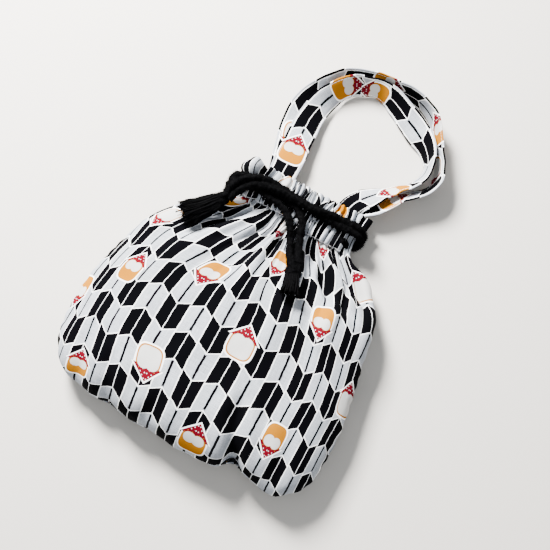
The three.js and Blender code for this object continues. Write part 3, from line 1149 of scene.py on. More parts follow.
class Wires:
    """Lays nodes in one node tree and joins them, left to right."""

    def __init__(self, tree: bpy.types.NodeTree) -> None:
        """Starts with no node laid in the tree."""
        self.tree = tree
        self.step = 0

    def add(self, kind: str, **settings: object) -> bpy.types.Node:
        """Adds a node.

        Args:
            kind: Type name of the node.
            settings: The node's properties and their values.

        Returns:
            The new node.
        """
        node = self.tree.nodes.new(kind)
        node.location = (self.step * 190, -(self.step % 5) * 170)
        self.step += 1
        for key, value in settings.items():
            setattr(node, key, value)
        return node

    def feed(self, socket: bpy.types.NodeSocket, value: SocketValue) -> None:
        """Joins an input to an output, or sets it.

        Args:
            socket: The input.
            value: An output to join it to, or its value.
        """
        if isinstance(value, bpy.types.NodeSocket):
            self.tree.links.new(value, socket)
        else:
            socket.default_value = value

    def math(self, operation: str, *values: SocketValue) -> bpy.types.NodeSocket:
        """Works out a sum.

        Args:
            operation: Name of the Math node's operation.
            values: Up to three values.

        Returns:
            The result's output.
        """
        node = self.add("ShaderNodeMath", operation=operation)
        for socket, value in zip(node.inputs, values):
            self.feed(socket, value)
        return node.outputs[0]

    def step_up(self, value: SocketValue, edge: float, soft: float) -> bpy.types.NodeSocket:
        """Steps from 0 below an edge to 1 above it.

        Args:
            value: What is compared.
            edge: Where the step lies.
            soft: Half the width of the passage.

        Returns:
            The step's output.
        """
        node = self.add("ShaderNodeMapRange", interpolation_type="SMOOTHSTEP")
        for name, item in (("Value", value), ("From Min", edge - soft), ("From Max", edge + soft)):
            self.feed(node.inputs[name], item)
        return node.outputs[0]

    def inverse(self, value: SocketValue) -> bpy.types.NodeSocket:
        """One less a value."""
        return self.math("SUBTRACT", 1.0, value)

    def product(self, *values: SocketValue) -> bpy.types.NodeSocket:
        """Two values multiplied."""
        return self.math("MULTIPLY", *values)

    def mix(self, share: SocketValue, low: SocketValue, high: SocketValue,
            ) -> bpy.types.NodeSocket:
        """Blends two colours.

        Args:
            share: Share of the second colour.
            low: The first colour.
            high: The second colour.

        Returns:
            The blend's output.
        """
        node = self.add("ShaderNodeMix", data_type="RGBA")
        self.feed(node.inputs[0], share)
        for socket, value in ((node.inputs[6], low), (node.inputs[7], high)):
            if isinstance(value, tuple):
                value = (*value, 1.0)
            self.feed(socket, value)
        return node.outputs[2]

    def split(self, vector: SocketValue) -> tuple[bpy.types.NodeSocket, ...]:
        """Takes a vector apart.

        Args:
            vector: The vector's output.

        Returns:
            Outputs of its three parts.
        """
        node = self.add("ShaderNodeSeparateXYZ")
        self.feed(node.inputs[0], vector)
        return tuple(node.outputs)

    def noise(self, vector: SocketValue, scale: float = 1.0,
              detail: float = 2.0) -> bpy.types.NodeSocket:
        """Lays a noise.

        Args:
            vector: Where it is read.
            scale: Lumps in a unit of length.
            detail: Number of finer layers.

        Returns:
            The noise's output, 0 to 1.
        """
        node = self.add("ShaderNodeTexNoise")
        self.feed(node.inputs["Vector"], vector)
        node.inputs["Scale"].default_value = scale
        node.inputs["Detail"].default_value = detail
        return node.outputs[0]

    def stretched(self, vector: SocketValue, scale: tuple[float, ...]) -> bpy.types.NodeSocket:
        """Scales each part of a vector by its own amount.

        Args:
            vector: The vector's output.
            scale: The three amounts.

        Returns:
            Output of the scaled vector.
        """
        node = self.add("ShaderNodeVectorMath", operation="MULTIPLY")
        self.feed(node.inputs[0], vector)
        node.inputs[1].default_value = scale
        return node.outputs[0]


def new_group(name: str, inputs: dict[str, str],
              outputs: dict[str, str]) -> tuple[bpy.types.NodeTree, Wires]:
    """Starts a shader node group.

    Args:
        name: Name of the group.
        inputs: Name and socket kind of each input.
        outputs: Name and socket kind of each output.

    Returns:
        The group and its wires.
    """
    tree = bpy.data.node_groups.new(name, "ShaderNodeTree")
    for direction, sockets in (("INPUT", inputs), ("OUTPUT", outputs)):
        for label, kind in sockets.items():
            tree.interface.new_socket(label, in_out=direction, socket_type=kind)
    return tree, Wires(tree)


VECTOR, VALUE = "NodeSocketVector", "NodeSocketFloat"


Colour = tuple[float, float, float]
Place = tuple[float, float, float]


@dataclass(frozen=True)
class CottonFinish:
    """Colours and gloss of the printed cotton.

    Attributes:
        ground: White cloth between the feathers, and the stitches.
        feather: Pale feathers.
        ink: Dark feathers and shafts.
        ochre: Field of a patch.
        cream: Heart of a patch, and the field of a pale one.
        red: Flag under a patch.
        roughness: Roughness of the cloth.
        gloss: Specular level of the cloth.
        bump: Strength of the weave's relief, and its depth in metres.
        weave_tone: How much the weave lightens and darkens the cloth.
        raise_stitch: Height of a stitch over the weave.
    """

    ground: Colour = (0.95, 0.955, 0.96)
    feather: Colour = (0.315, 0.335, 0.37)
    ink: Colour = (0.0004, 0.0004, 0.0009)
    ochre: Colour = (0.3, 0.11, 0.0016)
    cream: Colour = (0.46, 0.455, 0.445)
    red: Colour = (0.1, 0.0012, 0.007)
    roughness: float = 0.95
    gloss: float = 0.03
    bump: tuple[float, float] = (0.35, 0.0004)
    weave_tone: float = 0.85
    raise_stitch: float = 1.2


@dataclass(frozen=True)
class CordFinish:
    """Colours and gloss of the soft black cord.

    Attributes:
        dark: Colour of most of the yarn.
        worn: Colour of its lighter flecks.
        roughness: Roughness of the yarn.
        gloss: Specular level of the yarn.
        bump: Strength of the yarn's relief, and its depth in metres.
        yarn: Lumps in a metre along the cord and round it.
    """

    dark: Colour = (0.0006, 0.0006, 0.0007)
    worn: Colour = (0.003, 0.003, 0.0034)
    roughness: float = 1.0
    gloss: float = 0.02
    bump: tuple[float, float] = (0.7, 0.0006)
    yarn: tuple[float, float, float] = (900.0, 1500.0, 0.0)


@dataclass(frozen=True)
class Oval:
    """A rounded shape in a printed patch, mm.

    Attributes:
        centre: Height of its middle.
        wide: Half its width.
        tall: Half its height.
        power: Power of its outline; 2 is an ellipse and more is squarer.
        aside: How far its middle lies from the patch's own, on both sides.
    """

    centre: float
    wide: float
    tall: float
    power: float
    aside: float = 0.0


@dataclass(frozen=True)
class Patch:
    """Sizes of a printed patch, mm.

    Attributes:
        field: The rounded field.
        heart: Half of the double oval at its heart.
        flag_point: How far under the patch's middle the flag's point lies.
        flag_slope: Half width of the flag over its height.
        flag_top: Height of the flag's upper edge.
        flag_halo: Width of the white line round the flag.
        spots: Waves of the flag's spots across and up, 1/mm.
        halo: Size of the white line round the field, over the field's own.
        inner: Size of a pale patch's field, over the field's own.
        heart_gap: Size of the clear ground round the heart, over the heart's own.
    """

    field: Oval = Oval(3.2, 10.8, 10.2, 3.3)
    heart: Oval = Oval(-0.6, 5.0, 4.4, 2.1, aside=3.7)
    flag_point: float = 14.5
    flag_slope: float = 1.05
    flag_top: float = -2.6
    flag_halo: float = 1.6
    spots: tuple[float, float] = (1.6, 1.4)
    halo: float = 1.11
    inner: float = 0.88
    heart_gap: float = 1.06


class Finishes:
    """Makes each finish once, from shared node groups."""

    def __init__(self, pattern: Print, patch: Patch, cotton: CottonFinish,
                 cord: CordFinish) -> None:
        """Builds the node groups and then the materials.

        Args:
            pattern: Sizes of the feather print.
            patch: Sizes of the printed patches.
            cotton: Colours and gloss of the cloth.
            cord: Colours and gloss of the cord.
        """
        self.pattern = pattern
        self.patch_sizes = patch
        self.cotton_finish = cotton
        self.cord_finish = cord
        self.feathers = self.feather_group()
        self.patch = self.patch_group()
        self.weave = self.weave_group()
        self.stitches = self.stitch_group()
        self.cotton = self.make_cotton()
        self.cord = self.make_cord()

    def feather_group(self) -> bpy.types.NodeTree:
        """Lays out the arrow-feather print.

        Returns:
            A group with masks of the ink and of the bright ground between feathers.
        """
        p = self.pattern
        tree, w = new_group("arrow_feathers", {"Cloth": VECTOR}, {"Ink": VALUE, "Ground": VALUE})
        source = w.add("NodeGroupInput").outputs[0]
        wobble = w.product(w.math("SUBTRACT", w.noise(source, 260.0), 0.5), 1.1)
        u, v, _ = w.split(w.stretched(source, (1 / MM, 1 / MM, 0.0)))
        u = w.math("ADD", u, wobble)
        v = w.math("ADD", v, wobble)
        place = w.math("DIVIDE", u, p.pitch)
        number = w.math("ROUND", place)
        off = w.product(w.math("ABSOLUTE", w.math("SUBTRACT", place, number)), p.pitch)
        odd = w.math("FLOORED_MODULO", number, 2.0)
        sign = w.math("SUBTRACT", w.product(odd, 2.0), 1.0)
        climb = w.product(w.product(off, p.slope), sign)
        along = w.math("ADD", w.math("ADD", v, climb), w.product(odd, p.stagger))
        along = w.math("ADD", along, p.start + p.period / 4)
        cycle = w.math("FLOORED_MODULO", along, p.period)
        swing = w.math("PINGPONG", cycle, p.period / 2)
        edge = w.math("MINIMUM", swing, w.math("SUBTRACT", p.period / 2, swing))
        dark = w.inverse(w.step_up(cycle, p.period / 2, 0.05))
        gap = w.math("SUBTRACT", p.pitch / 2, off)
        inside = w.product(w.step_up(edge, p.outline, 0.22), w.step_up(gap, p.gap, 0.22))
        shaft = w.step_up(off, p.shaft, 0.2)
        ink = w.product(w.product(dark, inside), shaft)
        thin = w.inverse(w.step_up(off, p.thin_shaft, 0.1))
        thin = w.product(thin, w.step_up(edge, p.shaft_inset, 0.4))
        thin = w.product(thin, w.inverse(dark))
        ground = w.inverse(w.product(
            w.step_up(edge, p.outline + p.bright, 0.3), w.step_up(gap, p.gap + p.bright, 0.3)))
        sink = w.add("NodeGroupOutput")
        w.feed(sink.inputs[0], w.math("MAXIMUM", ink, thin))
        w.feed(sink.inputs[1], w.math("MAXIMUM", ground, w.product(dark, w.inverse(shaft))))
        return tree

    def patch_group(self) -> bpy.types.NodeTree:
        """Lays out a printed patch: a rounded field, its heart and a three-cornered flag.

        Returns:
            A group with a mask of each part.
        """
        p = self.patch_sizes
        tree, w = new_group(
            "printed_patch", {"Place": VECTOR},
            {"Field": VALUE, "Heart": VALUE, "Flag": VALUE, "Halo": VALUE, "Pale": VALUE,
             "Inner": VALUE})
        x, y, pale = w.split(w.add("NodeGroupInput").outputs[0])
        x = w.math("ABSOLUTE", x)

        def size_in(shape: Oval) -> bpy.types.NodeSocket:
            """Measures a place against an oval.

            Args:
                shape: The oval.

            Returns:
                Output with the place's size in it, 1 on the outline.
            """
            away = w.math("ABSOLUTE", w.math("SUBTRACT", x, shape.aside))
            a = w.math("POWER", w.math("DIVIDE", away, shape.wide), shape.power)
            rise = w.math("SUBTRACT", y, shape.centre)
            b = w.math("ABSOLUTE", w.math("DIVIDE", rise, shape.tall))
            total = w.math("ADD", a, w.math("POWER", b, shape.power))
            return w.math("POWER", total, 1 / shape.power)

        field, heart = size_in(p.field), size_in(p.heart)
        slant = w.math("SUBTRACT", w.product(w.math("ADD", y, p.flag_point), p.flag_slope), x)
        below = w.inverse(w.step_up(y, p.flag_top, 0.2))
        clear = w.step_up(heart, p.heart_gap, 0.03)
        spots = w.product(w.math("SINE", w.product(x, p.spots[0])),
                          w.math("SINE", w.product(y, p.spots[1])))
        flag = w.product(w.product(w.step_up(slant, 0.0, 0.25), below), clear)
        flag = w.product(flag, w.inverse(w.product(w.step_up(spots, 0.84, 0.1), 0.8)))
        wide = w.product(w.step_up(slant, -p.flag_halo, 0.3), below)
        halo = w.math("MAXIMUM", w.inverse(w.step_up(field, p.halo, 0.03)), wide)
        sink = w.add("NodeGroupOutput")
        for socket, value in zip(sink.inputs, (
                w.inverse(w.step_up(field, 1.0, 0.02)), w.inverse(w.step_up(heart, 1.0, 0.03)),
                flag, halo, pale, w.inverse(w.step_up(field, p.inner, 0.02)))):
            w.feed(socket, value)
        return tree

    @staticmethod
    def weave_group() -> bpy.types.NodeTree:
        """Lays out a plain weave with uneven yarns; its scales are in 1/m.

        Returns:
            A group with the weave's height and tone.
        """
        tree, w = new_group("plain_weave", {"Cloth": VECTOR}, {"Height": VALUE, "Tone": VALUE})
        source = w.add("NodeGroupInput").outputs[0]
        fine, long, crossing, cloud = 2300.0, 90.0, 7500.0, 1000.0
        warp = w.noise(w.stretched(source, (fine, long, 0.0)), detail=1.0)
        weft = w.noise(w.stretched(source, (long, fine, 0.0)), detail=1.0)
        u, v, _ = w.split(w.stretched(source, (crossing, crossing, 0.0)))
        knots = w.product(w.math("SINE", u), w.math("SINE", v))
        sink = w.add("NodeGroupOutput")
        slub = w.math("ADD", warp, weft)
        w.feed(sink.inputs[0], w.math("ADD", slub, w.product(knots, 0.3)))
        mottle = w.noise(w.stretched(source, (cloud, cloud, 0.0)))
        cloudy = w.product(w.math("SUBTRACT", mottle, 0.5), 0.7)
        w.feed(sink.inputs[1], w.math("ADD", w.math("SUBTRACT", slub, 1.0), cloudy))
        return tree

    @staticmethod
    def stitch_group() -> bpy.types.NodeTree:
        """Lays out a row of short stitches, in mm.

        Returns:
            A group with masks of the thread and of the cloth that it pulls in.
        """
        tree, w = new_group("running_stitch", {"Seam": VECTOR}, {"Thread": VALUE, "Dip": VALUE})
        half_thread, half_pitch, half_space, half_dip = 0.28, 1.3, 0.3, 0.6
        off, along, _ = w.split(w.add("NodeGroupInput").outputs[0])
        near = w.inverse(w.step_up(w.math("ABSOLUTE", off), half_thread, 0.12))
        dash = w.step_up(w.math("PINGPONG", along, half_pitch), half_space, 0.15)
        dip = w.inverse(w.step_up(w.math("ABSOLUTE", off), half_dip, half_dip))
        sink = w.add("NodeGroupOutput")
        w.feed(sink.inputs[0], w.product(near, dash))
        w.feed(sink.inputs[1], dip)
        return tree

    @staticmethod
    def material(name: str) -> tuple[bpy.types.Material, Wires, bpy.types.Node]:
        """Starts a material.

        Args:
            name: Name of the material.

        Returns:
            The material, its wires and its shader.
        """
        material = bpy.data.materials.new(name)
        material.use_nodes = True
        material.node_tree.nodes.clear()
        w = Wires(material.node_tree)
        shader = w.add("ShaderNodeBsdfPrincipled")
        w.feed(w.add("ShaderNodeOutputMaterial").inputs[0], shader.outputs[0])
        return material, w, shader

    @staticmethod
    def use(w: Wires, group: bpy.types.NodeTree, value: SocketValue) -> bpy.types.Node:
        """Lays a group in a material.

        Args:
            w: The material's wires.
            group: The node group.
            value: What its first input is joined to.

        Returns:
            The group's node.
        """
        node = w.add("ShaderNodeGroup", node_tree=group)
        w.feed(node.inputs[0], value)
        return node

    @staticmethod
    def dress(w: Wires, shader: bpy.types.Node, finish: CottonFinish | CordFinish,
              height: bpy.types.NodeSocket) -> None:
        """Gives a shader its relief, roughness and gloss.

        Args:
            w: The material's wires.
            shader: The material's shader.
            finish: Where the amounts come from.
            height: Output with the height of the relief.
        """
        bump = w.add("ShaderNodeBump")
        bump.inputs["Strength"].default_value = finish.bump[0]
        bump.inputs["Distance"].default_value = finish.bump[1]
        w.feed(bump.inputs["Height"], height)
        w.feed(shader.inputs["Normal"], bump.outputs[0])
        shader.inputs["Roughness"].default_value = finish.roughness
        shader.inputs["Specular IOR Level"].default_value = finish.gloss

    def make_cotton(self) -> bpy.types.Material:
        """Mixes the printed cotton.

        Returns:
            The material of all the cloth.
        """
        f = self.cotton_finish
        material, w, shader = self.material(CLOTH_SLOT)
        cloth = w.add("ShaderNodeUVMap", uv_map="cloth").outputs[0]
        motif = w.add("ShaderNodeAttribute", attribute_name="motif").outputs["Vector"]
        seam = w.add("ShaderNodeAttribute", attribute_name="stitch").outputs["Vector"]
        feathers = self.use(w, self.feathers, cloth)
        patch = self.use(w, self.patch, motif)
        weave = self.use(w, self.weave, cloth)
        stitch = self.use(w, self.stitches, seam)
        colour = w.mix(feathers.outputs["Ground"], f.feather, f.ground)
        tone = w.math("MULTIPLY_ADD", weave.outputs["Tone"], f.weave_tone, 1.0)
        shade = w.add("ShaderNodeMix", data_type="RGBA", blend_type="MULTIPLY")
        w.feed(shade.inputs[0], 1.0)
        w.feed(shade.inputs[6], colour)
        w.feed(shade.inputs[7], tone)
        colour = w.mix(feathers.outputs["Ink"], shade.outputs[2], f.ink)
        colour = w.mix(patch.outputs["Halo"], colour, f.ground)
        colour = w.mix(patch.outputs["Field"], colour, f.ochre)
        heart = w.math("MAXIMUM", patch.outputs["Heart"],
                       w.product(patch.outputs["Pale"], patch.outputs["Inner"]))
        colour = w.mix(heart, colour, f.cream)
        colour = w.mix(patch.outputs["Flag"], colour, f.red)
        colour = w.mix(stitch.outputs["Thread"], colour, f.ground)
        w.feed(shader.inputs["Base Color"], colour)
        raised = w.product(stitch.outputs["Thread"], f.raise_stitch)
        height = w.math("ADD", weave.outputs["Height"],
                        w.math("SUBTRACT", raised, stitch.outputs["Dip"]))
        self.dress(w, shader, f, height)
        return material

    def make_cord(self) -> bpy.types.Material:
        """Mixes the soft black cord.

        Returns:
            The material of cords, knots and tassels.
        """
        f = self.cord_finish
        material, w, shader = self.material(CORD_SLOT)
        cloth = w.add("ShaderNodeUVMap", uv_map="cloth").outputs[0]
        yarn = w.noise(w.stretched(cloth, f.yarn), detail=3.0)
        w.feed(shader.inputs["Base Color"], w.mix(w.step_up(yarn, 0.55, 0.2), f.dark, f.worn))
        self.dress(w, shader, f, yarn)
        return material


# ---- The studio ----------------------------------------------------------------------------
@dataclass(frozen=True)
class Lamp:
    """A soft square light.

    Attributes:
        name: Name of the light.
        toward: Where it stands, seen from the place that it faces, metres.
        size: Length of its sides, metres.
        power: Its power, watts.
        tint: Its colour.
    """

    name: str
    toward: Place
    size: float
    power: float
    tint: Colour


@dataclass
class Studio:
    """Camera, floor and soft light.

    Attributes:
        eye: Place of the camera, metres.
        right: Direction to the camera's right.
        up: Direction that is up for the camera.
        look: Direction the camera looks in.
        lens: Focal length, mm.
        sensor: Width of the camera's sensor, mm.
        middle: Place that the lights face, metres.
        key: The strong light.
        fill: The weak light.
        sky_tone: Colour of the surrounding light.
        sky_strength: Strength of the surrounding light.
        floor_tone: Colour of the floor.
        floor_roughness: Roughness of the floor.
        floor_half: Half the floor's width, metres.
        floor_z: Height of the floor, metres.
    """

    eye: Place = (0.0981, -0.1750, 0.7248)
    right: Place = (0.8746, 0.4848, 0.0)
    up: Place = (-0.4704, 0.8486, 0.2419)
    look: Place = (-0.1173, 0.2116, -0.9703)
    lens: float = 58.9
    sensor: float = 36.0
    middle: Place = (0.0, -0.03, 0.0)
    key: Lamp = Lamp("key", (-0.68, 0.52, 0.74), 0.34, 128.0, (1.0, 0.985, 0.96))
    fill: Lamp = Lamp("fill", (0.6, -0.5, 1.1), 1.2, 3.0, (0.95, 0.975, 1.0))
    sky_tone: Colour = (0.93, 0.965, 1.0)
    sky_strength: float = 0.72
    floor_tone: Colour = (0.54, 0.515, 0.48)
    floor_roughness: float = 0.9
    floor_half: float = 2.5
    floor_z: float = -2e-4

    def camera(self) -> None:
        """Sets the camera."""
        data = bpy.data.cameras.new("camera")
        data.lens, data.sensor_width, data.clip_start = self.lens, self.sensor, 0.01
        obj = bpy.data.objects.new("camera", data)
        back = [-c for c in self.look]
        obj.matrix_world = Matrix([
            [self.right[i], self.up[i], back[i], self.eye[i]] for i in range(3)
        ] + [[0, 0, 0, 1]])
        bpy.context.scene.collection.objects.link(obj)
        bpy.context.scene.camera = obj

    def light(self, lamp: Lamp) -> None:
        """Adds a light that faces the pouch's middle.

        Args:
            lamp: Its place, size, power and colour.
        """
        data = bpy.data.lights.new(lamp.name, "AREA")
        data.shape, data.size, data.energy, data.color = "SQUARE", lamp.size, lamp.power, lamp.tint
        obj = bpy.data.objects.new(lamp.name, data)
        place = np.array(lamp.toward, float) + self.middle
        back = unit(np.array(lamp.toward, float))
        side = unit(np.cross([0.0, 1.0, 0.0], back))
        up = np.cross(back, side)
        obj.matrix_world = Matrix([
            [side[i], up[i], back[i], place[i]] for i in range(3)] + [[0, 0, 0, 1]])
        bpy.context.scene.collection.objects.link(obj)

    def build(self) -> None:
        """Sets the floor, the lights and the surrounding tone."""
        world = bpy.data.worlds.new("studio")
        world.use_nodes = True
        sky = world.node_tree.nodes["Background"]
        sky.inputs[0].default_value = (*self.sky_tone, 1.0)
        sky.inputs[1].default_value = self.sky_strength
        bpy.context.scene.world = world
        self.light(self.key)
        self.light(self.fill)
        material, _, shader = Finishes.material("floor")
        shader.inputs["Base Color"].default_value = (*self.floor_tone, 1.0)
        shader.inputs["Roughness"].default_value = self.floor_roughness
        mesh = bpy.data.meshes.new("floor")
        r, z = self.floor_half, self.floor_z
        mesh.from_pydata([(-r, -r, z), (r, -r, z), (r, r, z), (-r, r, z)], [], [(0, 1, 2, 3)])
        mesh.materials.append(material)
        floor = bpy.data.objects.new("floor", mesh)
        bpy.context.scene.collection.objects.link(floor)


# ---- The pouch -----------------------------------------------------------------------------
FRONT_VALLEYS = (
    -60, -48.5, -33, -26.5, -20.5, -14.5, -9.2, -4.8, -0.6, 3.8, 8.0, 12.4, 16.6, 21.2, 25.4,
    29.8, 34.4, 39, 44.2, 50, 56.5,
)
BACK_VALLEYS = (
    -57, -49, -41, -34, -27.5, -21.5, -16, -10.2, -5, 0.6, 6, 11.8, 17, 22.8, 28, 34, 40,
    46.4, 53, 59,
)
FRONT_STRAP = (
    (-25, 44, 13.6, 12.4, 0), (-25.2, 57.5, 13.6, 12.4, 0), (-25.7, 70, 13, 12.4, 0),
    (-27, 84, 11.8, 12.4, 3), (-28.5, 103, 10, 12, 6), (-28.5, 121, 9.6, 11.5, 18),
    (-24.5, 139, 10.6, 11.5, 38), (-15.5, 155, 11.8, 11.5, 58), (-4, 163.5, 12, 11.5, 66),
    (9, 167.5, 11.9, 11.5, 68), (22, 166.5, 11.6, 11.5, 62), (37, 160, 10.4, 11.5, 44),
    (55, 150.5, 9.5, 11.5, 36), (68, 142, 10.8, 11.5, 52), (77.5, 130, 11.8, 11.5, 72),
    (80, 116.5, 11.9, 11.5, 72), (74.5, 104.5, 11.9, 11.5, 66), (63.5, 93, 12, 11.5, 56),
    (51, 79.5, 13, 11.5, 38), (43.5, 70.5, 14, 10.8, 14), (40, 64, 14.1, 9.9, 2),
    (38, 56, 13.6, 9.7, 0), (37.6, 44, 13.6, 9.7, 0),
)
BACK_STRAP = (
    (-25, 44, 10.9, 12.4, 0), (-25.2, 57.5, 10.9, 12.4, 0), (-28, 70, 8.6, 12.4, 0),
    (-34, 88, 4.8, 12.2, 0), (-39, 108.5, 3.2, 12.2, 5), (-39.5, 124, 6.5, 12, 22),
    (-32, 144.5, 9.4, 12, 46), (-19.5, 161, 11.6, 12, 64), (-7, 169.5, 12.2, 12, 76),
    (6, 174, 12.4, 12, 82), (20, 176, 12.5, 12, 83), (34, 176.2, 12.5, 12, 83),
    (47, 174.4, 12.5, 12, 82), (58, 169.8, 12.5, 12, 82), (67, 162.2, 12.4, 12, 80),
    (74.5, 151.5, 12.3, 12, 78), (81, 139.3, 12.3, 12, 76), (88, 127.5, 12.2, 12, 74),
    (91, 114, 12, 12, 70), (85, 102.5, 11.6, 12, 62), (70.5, 90, 10.8, 12, 52),
    (55.8, 74.4, 10.4, 12, 34), (45.6, 68.3, 10.4, 11, 12), (40, 64, 10.5, 9.9, 2),
    (38, 56, 10.9, 9.7, 0), (37.6, 44, 10.9, 9.7, 0),
)
FRONT_MOTIFS = (
    Motif(-116.6, -21, 0, True), Motif(-94, -73, 180), Motif(-35.5, -47.5),
    Motif(20.6, -85.5, 180, True), Motif(81, -40), Motif(138, -83, 180, True),
    Motif(81, -139), Motif(-37.2, -133.5, 6, True), Motif(-96.5, -164, 180),
    Motif(23, -168.5, 180), Motif(-140, -108.5), Motif(-9, 22, 0, True), Motif(20, -9),
    Motif(80, 36, 0, True), Motif(138, 13.4, 180, True), Motif(-114, 40, 180), Motif(84, 61),
    Motif(-58, 58, 0, True),
)
BACK_MOTIFS = (
    Motif(-97, -130), Motif(-38, -152, 180, True), Motif(21, -118), Motif(79, -150, 180),
    Motif(118, -95, 0, True), Motif(-58, -84, 0, True), Motif(1, -62, 180), Motif(60, -45),
    Motif(-117, -60, 180), Motif(-77, -22, 0, True), Motif(99, -12, 180), Motif(21, 2),
    Motif(-20, 56, 180),
)
FRONT_STRAP_MOTIFS = (
    Motif(20, 44, 180), Motif(21, 120.5, 180), Motif(16, 145), Motif(22, 272, 180),
)
BACK_STRAP_MOTIFS = (
    Motif(-3, 60, 0, True), Motif(3, 170, 180), Motif(6, 232), Motif(-5, 268, 180, True),
    Motif(1, 318),
)
FRONT_FOLDS = (
    Fold((57, -172), (38, -118), 4.2, 5.5),
    Fold((-52, -172), (-66, -140), 1.8, 5.0),
    Fold((-82, -168), (-92, -128), 1.6, 5.5),
    Fold((92, -165), (84, -120), 1.6, 6.0),
    Fold((-20, -176), (-14, -150), 1.2, 6.0),
    Fold((48, -5), (84, -25), 4.5, 3.6),
    Fold((52, 10), (90, -8), 4.5, 3.6),
    Fold((42, 4), (66, -24), 4.0, 3.4),
    Fold((29, 13), (39, -12), 3.5, 3.0),
    Fold((-38, 14), (-66, -8), 3.5, 3.6),
    Fold((-22, 12), (-42, -22), 3.0, 3.4),
)


@dataclass(frozen=True)
class HiddenRun:
    """The part of one drawcord inside the channels, mm.

    Attributes:
        name: Which cord.
        y: Height up the pouch of the run in the back channel.
        top_y: Height up the pouch of the run in the front channel.
        start: Place across where the run begins.
        turn: Place across where the cord turns round the neck's side.
        side: 1 when the run begins at the right and -1 when it begins at the left.
        loop: How far up the pouch the turn bows.
    """

    name: str
    y: float
    top_y: float
    start: float
    turn: float
    side: int
    loop: float = 0.0


HIDDEN_RUNS = (
    HiddenRun("right", 36.4, 36.4, 48.0, -49.0, 1, loop=4.0),
    HiddenRun("left", 26.0, 31.0, -43.5, 44.0, -1),
)


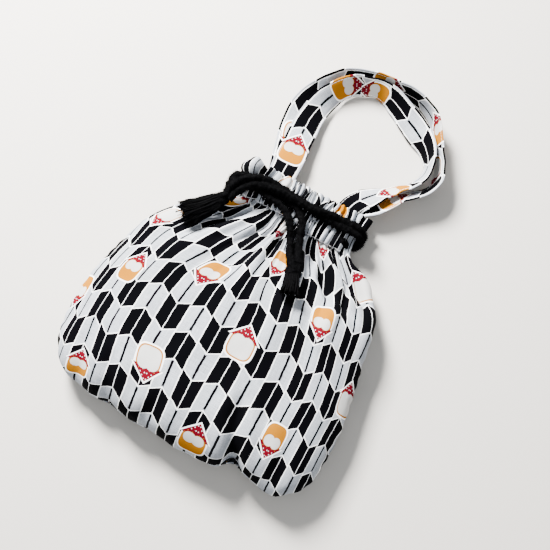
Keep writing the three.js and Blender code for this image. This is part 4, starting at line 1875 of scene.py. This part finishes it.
@dataclass
class Pouch:
    """The whole pouch: cloth, handle, cords.

    Attributes:
        finishes: The two materials.
        shape: The bag's outline.
        yarn: The cord.
        run_height: Height of the cord inside the back channel, mm.
        panel_flat: Flat size of a panel, metres.
        channel_flat: Flat size of a channel, metres.
        strap_width: Width of a strap, metres.
    """

    finishes: Finishes
    shape: BagShape = field(default_factory=BagShape)
    yarn: CordYarn = field(default_factory=CordYarn)
    run_height: float = 4.3
    panel_flat: tuple[float, float] = (0.28, 0.268)
    channel_flat: tuple[float, float] = (0.105, 0.031)
    strap_width: float = 0.024

    def keep(self, obj: bpy.types.Object, slot: str, *nodes: str) -> bpy.types.Object:
        """Fixes a piece to the frame in place of its CAD nodes.

        Args:
            obj: The piece.
            slot: Its material's slot; not used.
            nodes: Names of the CAD nodes that it stands for.

        Returns:
            The same piece.
        """
        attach(obj, "root")
        if nodes:
            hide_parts(*nodes)
        return obj

    def cords(self) -> None:
        """Both drawcords with their knots and tassels."""
        ends = {
            "right_cord": CordEnd(
                "right_cord", ((-52.6, 16.0, 27.4), (-60.5, 4.0, 29.0)),
                ((-57.0, 8.0, 29.5), (-71.8, -16.5, 39.0)), (11.6, 7.4), threads=380, seed=5),
            "left_cord": CordEnd(
                "left_cord", ((23.0, -9.0, 35.0), (28.2, -20, 40.5)),
                ((26.4, -16.4, 39.6), (33.4, -35.5, 47.5)), (8.2, 5.0), threads=240, seed=9),
        }
        strands = (
            Strand("right_cord_upper_strand", RIGHT_CORD_UPPER, "right_cord"),
            Strand("right_cord_lower_strand", RIGHT_CORD_LOWER, "right_cord"),
            Strand("left_cord_upper_strand", LEFT_CORD_UPPER, "left_cord"),
            Strand("left_cord_lower_strand", LEFT_CORD_LOWER, "left_cord"),
        )
        tips: dict[str, list[bpy.types.Object]] = {}
        for name, end in ends.items():
            knot, tassel = end.knot_surface(), end.tassel_surface()
            pieces = [
                (f"{name}_knot", knot, f"{name}_knot"),
                (f"{name}_tassel", tassel, f"{name}_tassel"),
                (f"{name}_end_fuzz", joined([
                    Fuzz(3.0, 1.6, end.seed).grow(knot), Fuzz(0.22, 1.6, end.seed).grow(tassel),
                ]), None),
            ]
            tips[name] = [
                self.keep(surface.build(label, self.finishes.cord), CORD_SLOT,
                          *([node] if node else []))
                for label, surface, node in pieces
            ]
        for number, strand in enumerate(strands):
            line = strand.line()
            body = self.yarn.tube(line)
            obj = self.keep(body.build(strand.name, self.finishes.cord), CORD_SLOT, strand.name)
            fuzz = Fuzz(seed=30 + number).grow(body).build(
                f"{strand.name}_fuzz", self.finishes.cord)
            self.keep(fuzz, CORD_SLOT)
            with_pieces = [fuzz] + (tips[strand.knot] if "upper" in strand.name else [])
            far_end = "knot" if "upper" in strand.name else "object"
            float(run_length(line)[-1] * MM)
        self.hidden_runs()

    def hidden_runs(self) -> None:
        """The part of each cord inside the channels, and its turn round the neck's side."""
        low, high = self.run_height, 2 * self.shape.neck_seam - self.run_height
        radius = (high - low) / 2
        for run in HIDDEN_RUNS:
            middle = (run.start + run.turn) / 2
            bend = [
                (run.turn - run.side * radius * math.sin(a),
                 run.y + (run.top_y - run.y) * a / math.pi + run.loop * math.sin(a),
                 (low + high) / 2 - radius * math.cos(a))
                for a in np.linspace(0, math.pi, 9)
            ]
            route = [(run.start, run.y, low), (middle, run.y, low), *bend,
                     (middle, run.top_y, high), (run.start - run.side * 2, run.top_y, high)]
            body = self.yarn.tube(spline(route, HIDDEN_RINGS))
            label = f"{run.name}_cord_in_channel"
            self.keep(body.build(label, self.finishes.cord), CORD_SLOT, label)

    def cloth(self) -> None:
        """Both panels and both cord channels."""
        front_gathers = Gathers(FRONT_VALLEYS, 11)
        back_gathers = Gathers(BACK_VALLEYS, 12)
        plan = (
            (Panel(Side.FRONT, self.shape, front_gathers, FRONT_FOLDS), FRONT_MOTIFS, "panel"),
            (Panel(Side.BACK, self.shape, back_gathers, (), rows=(24, 30, 64), columns=190),
             BACK_MOTIFS, "panel"),
            (Channel(Side.FRONT, self.shape, front_gathers), (), "cord_channel"),
            (Channel(Side.BACK, self.shape, back_gathers), (), "cord_channel"),
        )
        under = {"front_panel": ["back_panel"], "front_cord_channel": ["front_panel"]}
        for part, motifs, kind in plan:
            name = f"{part.side.value}_{kind}"
            obj = part.surface().build(name, self.finishes.cotton, MotifMap(motifs))
            self.keep(obj, CLOTH_SLOT, name)
            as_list(under.get(name, []))

    def handle(self) -> None:
        """Both straps."""
        for name, stations, motifs, origin, seed in (
            ("front_handle_strap", FRONT_STRAP, FRONT_STRAP_MOTIFS, (19.6, 4.0), 41),
            ("back_handle_strap", BACK_STRAP, BACK_STRAP_MOTIFS, (0.0, 5.0), 42),
        ):
            strap = Strap(stations, origin, seed)
            obj = strap.surface().build(name, self.finishes.cotton, MotifMap(motifs))
            self.keep(obj, CLOTH_SLOT, name)
            long = float(run_length(spline(stations, 300)[:, :3])[-1])

    def build(self) -> None:
        """Builds everything; the cords come first."""
        self.cords()
        self.cloth()
        self.handle()


def main() -> None:
    """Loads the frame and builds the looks."""
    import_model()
    studio = Studio()
    studio.camera()
    Pouch(Finishes(Print(), Patch(), CottonFinish(), CordFinish())).build()
    studio.build()


if __name__ == "__main__":
    main()
